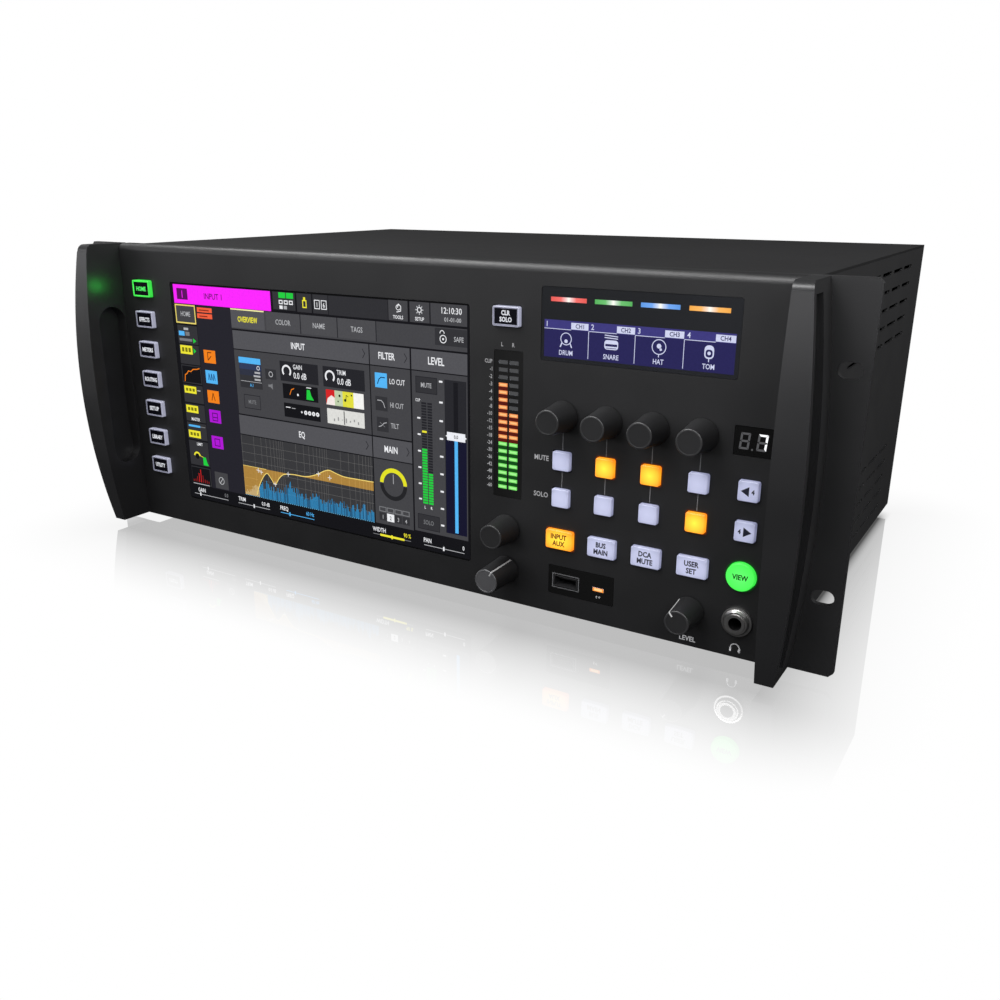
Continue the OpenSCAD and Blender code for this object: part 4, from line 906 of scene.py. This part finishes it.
# filter block
s.rect(-13.0, 18.7, -4.8, 26.8, cyn, 2); s.line([(-11.4, 20.6), (-10.2, 23.4), (-8.8, 24.4), (-6.2, 24.4)], 0.55, glow((14, 52, 90), 1), 3)
s.text("LO CUT", -3.1, 21.4, 2.9, wt, 2, "l", 0.7, 0.03)
s.rect(-13.2, 5.9, -5.0, 13.8, g3, 2); s.line([(-11.8, 11.6), (-9.2, 11.6), (-7.8, 10.4), (-6.8, 7.8)], 0.45, md, 3); s.text("HI CUT", -3.1, 8.5, 2.8, md, 2, "l", 0.7)
s.rect(-12.7, -5.8, -4.7, 2.3, g3, 2); s.line([(-11.4, -3.2), (-9.6, -2.6), (-7.8, -0.9), (-6.0, -0.4)], 0.45, md, 3); s.line([(-10.6, -0.6), (-7.2, -3.0)], 0.3, lo, 3); s.text("TILT", -3.1, -3.0, 2.8, md, 2, "l", 0.7)
# equaliser graph
s.rect(-118.9, -60.0, -16.8, -21.8, glow((56, 56, 58), 0.95), 1)
gl = glow((112, 111, 109), 0.95)
for k in range(1, 7):
    s.rect(-118.9, -21.8 - 5.45 * k, -16.8, -21.65 - 5.45 * k, gl, 2)
for dec in range(3):
    for k in range(1, 10):
        x = -118.6 + 102 * (dec * 1.0 + math.log10(k)) / 3.0
        s.rect(x, -60.0, x + 0.16, -21.8, gl, 2)
EQ_PTS = [(-109.3, -60.0), (-106.5, -53.2), (-103.9, -48.6), (-101.0, -44.9), (-98.6, -43.8), (-96.1, -46.3), (-93.0, -49.6), (-89.2, -45.3), (-85.5, -42.4),
          (-77.4, -41.1), (-67.5, -40.8), (-58.9, -38.2), (-53.0, -35.2), (-49.1, -34.1), (-45.0, -35.0), (-38.6, -36.3), (-28.0, -36.3), (-17.0, -36.1)]
def eqz(x):
    if x <= EQ_PTS[0][0]:
        return -60.0
    for k in range(len(EQ_PTS) - 1):
        (xa, za), (xb, zb) = EQ_PTS[k], EQ_PTS[k + 1]
        if x <= xb:
            z0 = EQ_PTS[max(0, k - 1)]; z3 = EQ_PTS[min(len(EQ_PTS) - 1, k + 2)]
            ma = (zb - z0[1]) / (xb - z0[0]) * (xb - xa); mb = (z3[1] - za) / (z3[0] - xa) * (xb - xa)
            t = (x - xa) / (xb - xa)
            return (2 * t**3 - 3 * t**2 + 1) * za + (t**3 - 2 * t**2 + t) * ma + (3 * t**2 - 2 * t**3) * zb + (t**3 - t**2) * mb
    return EQ_PTS[-1][1]
loc = eqz
xs = [-118.8 + 102.0 * k / 204 for k in range(205)]
for xa, xb in zip(xs, xs[1:]):
    z = eqz((xa + xb) / 2)
    s.rect(xa, min(z, -41.4), xb, max(z, -41.3), amb, 3)
gla = glow((214, 170, 92), 0.92)
for dec in range(3):
    for k in range(1, 10):
        x = -118.6 + 102 * (dec + math.log10(k)) / 3.0
        z = eqz(x)
        s.rect(x, min(z, -41.4), x + 0.16, max(z, -41.3), gla, 4)
for zz in (-49.05, -54.5):
    s.rect(-118.8, zz, -107.0, zz + 0.15, gla, 4)
crv = [(x, eqz(x)) for x in xs if x > -109.2]
s.line(crv, 0.5, ambl, 6)
s.line([(-118.8, -41.3), (-99.5, -41.3)], 0.3, ambl, 5)
rnd = random.Random(4)
lvl = 0.5
x = -118.4
while x < -17.2:
    base = 10.5 if x > -107 else (6.5 if x > -113 else 3.5)
    lvl = 0.65 * lvl + 0.35 * rnd.random()
    hgt = base * (0.22 + 1.05 * lvl * rnd.uniform(0.4, 1.35)) * (1.12 - 0.42 * max(0, (x + 107)) / 90)
    c = spe if x > -107 else glow((214, 190, 140), 0.9)
    s.rect(x, -60.0, x + 0.5, -60.0 + hgt, c if rnd.random() < 0.7 or x < -107 else spd, 4)
    x += 0.7
for k in range(64):
    s.rect(-118.6 + 1.6 * k, -60.35, -117.8 + 1.6 * k, -60.05, glow((120, 200, 240), 0.9), 5)
for x in (-106.2, -103.9, -81.6, -57.6, -49.0, -92.9):
    z = min(eqz(x), loc(x)) + (0 if x != -49.0 else -4.6)
    if x < -100: z = -42.8 if x < -105 else -43.6
    s.rect(x - 1.5, z - 0.18, x + 1.5, z + 0.18, wt, 7); s.rect(x - 0.18, z - 1.5, x + 0.18, z + 1.5, wt, 7)
# main block
s.rect(-16.0, -60.0, 10.7, -21.8, g2, 1)
s.arc(-2.6, -35.4, 6.9, 9.4, 2, 178, glow((228, 226, 34), 1.0), 2, 40)
s.arc(-2.6, -35.4, 6.9, 9.4, 182, 358, glow((34, 34, 36), 0.9), 2, 40)
s.rect(-2.8, -35.0, -2.4, -29.4, md, 3)
for k in range(4):
    x0 = -13.2 + 5.4 * k
    s.frame(x0, -52.6, x0 + 5.0, -49.6, 0.5, lo, 2)
    s.rect(x0, -57.8, x0 + 5.0, -53.2, wt if k == 1 else g3, 2)
    s.text(str(k + 1), x0 + 2.5, -56.8, 2.3, bk if k == 1 else md, 3, "c")
# level block
s.frame(14.1, 18.7, 28.0, 27.6, 0.4, g4, 2); s.rect(14.5, 19.1, 27.6, 27.2, g3, 2); s.text("MUTE", 21.0, 21.9, 2.5, md, 3, "c", 0.75)
s.frame(13.7, -57.9, 28.4, -49.0, 0.4, g4, 2); s.rect(14.1, -57.5, 28.0, -49.4, g3, 2); s.text("SOLO", 21.0, -54.7, 2.5, lo, 3, "c", 0.75)
for k in range(38):
    z = -42.7 + 1.5 * k
    for x0, x1, t in ((17.6, 20.9, -11.6), (21.5, 24.5, -25.9)):
        s.rect(x0, z, x1, z + 1.1, grn if z < t else g4, 3)
s.rect(17.8, -2.7, 20.8, -1.6, yl, 4)
s.text("CLIP", 15.4, 14.0, 1.6, wt, 2, "c", 0.7, 0.02)
for z in (4.6, -4.4, -13.6, -22.8, -32.0, -40.8):
    s.rect(14.8, z, 16.8, z + 0.9, wt, 2)
s.text("L", 18.9, -45.6, 1.6, wt, 2, "c"); s.text("R", 23.2, -45.6, 1.6, wt, 2, "c")
for z in (26.0, 15.0, 5.0, -4.6, -14.4, -24.2, -34.0, -43.8, -53.4):
    s.rect(29.2, z - 0.5, 31.4, z + 0.5, wt, 2)
s.rect(32.6, -57.0, 46.2, 27.4, glow((38, 38, 42), 0.92), 2)
s.rect(38.2, -2.4, 41.0, 26.4, glow((22, 22, 26), 0.9), 3)
s.rect(33.0, -57.0, 46.2, -4.6, nvb, 3)
s.rect(38.6, -56.2, 40.7, -4.0, cyn, 4)
s.rect(33.9, -4.7, 45.4, -0.2, glow((238, 240, 246), 1.0), 5); s.text("0.0", 39.6, -3.4, 1.9, g3, 6, "c", 0.8)
s.poly([(32.9, -2.5), (33.9, -1.9), (33.9, -3.1)], wt, 5); s.poly([(46.4, -2.5), (45.4, -3.1), (45.4, -1.9)], wt, 5)
# bottom row of small sliders
for (x0, x1, t, vx, c, val, kx) in ((-165.0, -134.6, "GAIN", -161.4, wt, "0.0", -159.6), (-125.7, -98.9, "TRIM", -125.4, wt, "0.0 dB", -112.2),
                            (-89.8, -62.9, "FREQ", -90.0, cyn, "60 Hz", -82.4), (-18.3, 8.5, "WIDTH", -18.5, yl, "90 %", -4.8), (17.6, 44.4, "PAN", 17.4, wt, "0", 30.8)):
    s.text(t, vx, -65.3, 2.6, wt, 2, "l", 0.75, 0.06)
    s.text(val, x1, -65.3, 2.4, c if c is not wt else (lo if t == "GAIN" else wt), 2, "r", 0.75)
    s.rect(x0, -67.2, x1, -66.8, md if c is wt else (cyn if c is cyn else lo), 2)
    s.rect(kx - 0.5, -68.2, kx + 0.5, -65.8, c if c is not yl else yl, 3)
s.rect(-13.2, -67.6, 4.0, -66.3, yl, 3)
s.build("unit", "dark_glass")

# ------------------------------------------------------------------ stage
fm = bpy.data.materials.new("studio_floor")
fm.use_nodes = True
nt = fm.node_tree
nt.nodes.clear()
out = nt.nodes.new("ShaderNodeOutputMaterial")
tc = nt.nodes.new("ShaderNodeTexCoord")
sep = nt.nodes.new("ShaderNodeSeparateXYZ")
nt.links.new(tc.outputs["Object"], sep.inputs["Vector"])
def math_node(op, a, b=None, clamp=False):
    n = nt.nodes.new("ShaderNodeMath")
    n.operation = op
    n.use_clamp = clamp
    for k, v in enumerate((a, b)):
        if v is None:
            continue
        if isinstance(v, (int, float)):
            n.inputs[k].default_value = v
        else:
            nt.links.new(v, n.inputs[k])
    return n.outputs["Value"]
dx = math_node("MAXIMUM", math_node("SUBTRACT", math_node("ABSOLUTE", sep.outputs["X"]), 0.215), 0.0)
dy = math_node("MAXIMUM", math_node("SUBTRACT", math_node("ABSOLUTE", sep.outputs["Y"]), 0.150), 0.0)
dist = math_node("SQRT", math_node("ADD", math_node("MULTIPLY", dx, dx), math_node("MULTIPLY", dy, dy)))
fade = math_node("POWER", math_node("SUBTRACT", 1.0, math_node("DIVIDE", dist, 0.078), True), 1.6)
mirror_part = math_node("MULTIPLY", fade, 0.49)
white_part = nt.nodes.new("ShaderNodeEmission")
white_part.inputs["Color"].default_value = (1, 1, 1, 1)
# painted shadow: the floor's glow and its mirror are dimmed by a footprint mask under the case, where no light gets
ux = math_node("DIVIDE", math_node("SUBTRACT", 0.218, math_node("ABSOLUTE", sep.outputs["X"])), 0.006, True)
uy = math_node("DIVIDE", math_node("SUBTRACT", 0.118, math_node("ABSOLUTE", math_node("SUBTRACT", sep.outputs["Y"], 0.036))), 0.02, True)
under = math_node("MULTIPLY", ux, uy)
nt.links.new(math_node("SUBTRACT", 1.0, math_node("MULTIPLY", under, 0.9)), white_part.inputs["Strength"])
mirror_part = math_node("MULTIPLY", mirror_part, math_node("SUBTRACT", 1.0, math_node("MULTIPLY", under, 0.85)))
gl_ = nt.nodes.new("ShaderNodeBsdfGlossy")
gl_.inputs["Roughness"].default_value = 0.0
mx = nt.nodes.new("ShaderNodeMixShader")
nt.links.new(mirror_part, mx.inputs["Fac"])
nt.links.new(white_part.outputs["Emission"], mx.inputs[1])
nt.links.new(gl_.outputs["BSDF"], mx.inputs[2])
nt.links.new(mx.outputs["Shader"], out.inputs["Surface"])
S = 6.0
floor = mesh_obj("floor", [Vector((-S, -S, 0)), Vector((S, -S, 0)), Vector((S, S, 0)), Vector((-S, S, 0))], [(0, 1, 2, 3)], [fm])
floor.visible_diffuse = False
floor.visible_glossy = False
floor.visible_shadow = False
floor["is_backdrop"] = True

# white backdrop; what lights and reflects in the object is a softer room, brighter in front and above
world = bpy.data.worlds.new("world")
scene.world = world
world.use_nodes = True
nt = world.node_tree
bg = nt.nodes["Background"]
tc = nt.nodes.new("ShaderNodeTexCoord")
sep = nt.nodes.new("ShaderNodeSeparateXYZ")
nt.links.new(tc.outputs["Generated"], sep.inputs["Vector"])
def mrange(v, a0, a1, b0, b1):
    n = nt.nodes.new("ShaderNodeMapRange")
    n.interpolation_type = "SMOOTHSTEP"
    n.inputs["From Min"].default_value = a0
    n.inputs["From Max"].default_value = a1
    n.inputs["To Min"].default_value = b0
    n.inputs["To Max"].default_value = b1
    nt.links.new(v, n.inputs["Value"])
    return n.outputs["Result"]
up = mrange(sep.outputs["Z"], -0.30, 0.55, 0.03, 0.34)
front_ = mrange(sep.outputs["Y"], -0.5, 0.5, 1.0, 0.30)
room = math_node("MULTIPLY", up, front_)
lp = nt.nodes.new("ShaderNodeLightPath")
seen = math_node("MAXIMUM", lp.outputs["Is Camera Ray"], lp.outputs["Is Singular Ray"])
strength = math_node("ADD", math_node("MULTIPLY", room, math_node("SUBTRACT", 1.0, seen)), seen)
bg.inputs["Color"].default_value = (1, 1, 1, 1)
nt.links.new(strength, bg.inputs["Strength"])

def area(name, loc, target, size, power, color=(1, 1, 1)):
    l = bpy.data.lights.new(name, "AREA")
    l.shape = "RECTANGLE"
    l.size, l.size_y = size
    l.energy = power
    l.color = color
    o = bpy.data.objects.new(name, l)
    scene.collection.objects.link(o)
    o.location = loc
    d = Vector(target) - Vector(loc)
    o.rotation_euler = d.to_track_quat("-Z", "Y").to_euler()
    return o
area("overhead", (-0.45, -0.42, 1.05), (0, -0.12, 0.17), (1.5, 0.35), 15)
area("front_top", (0.0, -0.72, 0.72), (0, -0.12, 0.15), (1.5, 0.25), 3.7, (0.98, 0.98, 1.0))
area("front_low", (-0.65, -1.25, 0.40), (0, -0.12, 0.12), (2.2, 0.36), 4.4, (0.97, 0.97, 1.0))
area("right_soft", (0.95, 0.05, 0.66), (0.2, 0.05, 0.14), (0.6, 0.5), 7.5)
area("right_front", (0.62, -0.62, 0.46), (0.22, -0.13, 0.16), (0.3, 0.3), 2.2)
area("right_near", (0.10, -0.46, 0.42), (0.22, -0.13, 0.17), (0.16, 0.12), 0.33)
area("rear_low", (-0.42, 0.95, 0.07), (-0.42, 0.15, 0.07), (1.1, 0.18), 8)
area("left_low", (-0.95, 0.1, 0.07), (-0.2, 0.05, 0.075), (0.9, 0.18), 5)
area("key_spill", W(MENU_X + 1.0, -5.2, MENU_Z[0]), W(-212, -12, MENU_Z[0] + 1), (0.006, 0.006), 0.0013, (0.05, 1.0, 0.1))

out_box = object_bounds()
def plain(b_):
    return [[float(x) for x in c] if hasattr(c, "__len__") or hasattr(c, "x") else float(c) for c in b_]
{"cad": plain(cad_box), "visual": plain(out_box)}
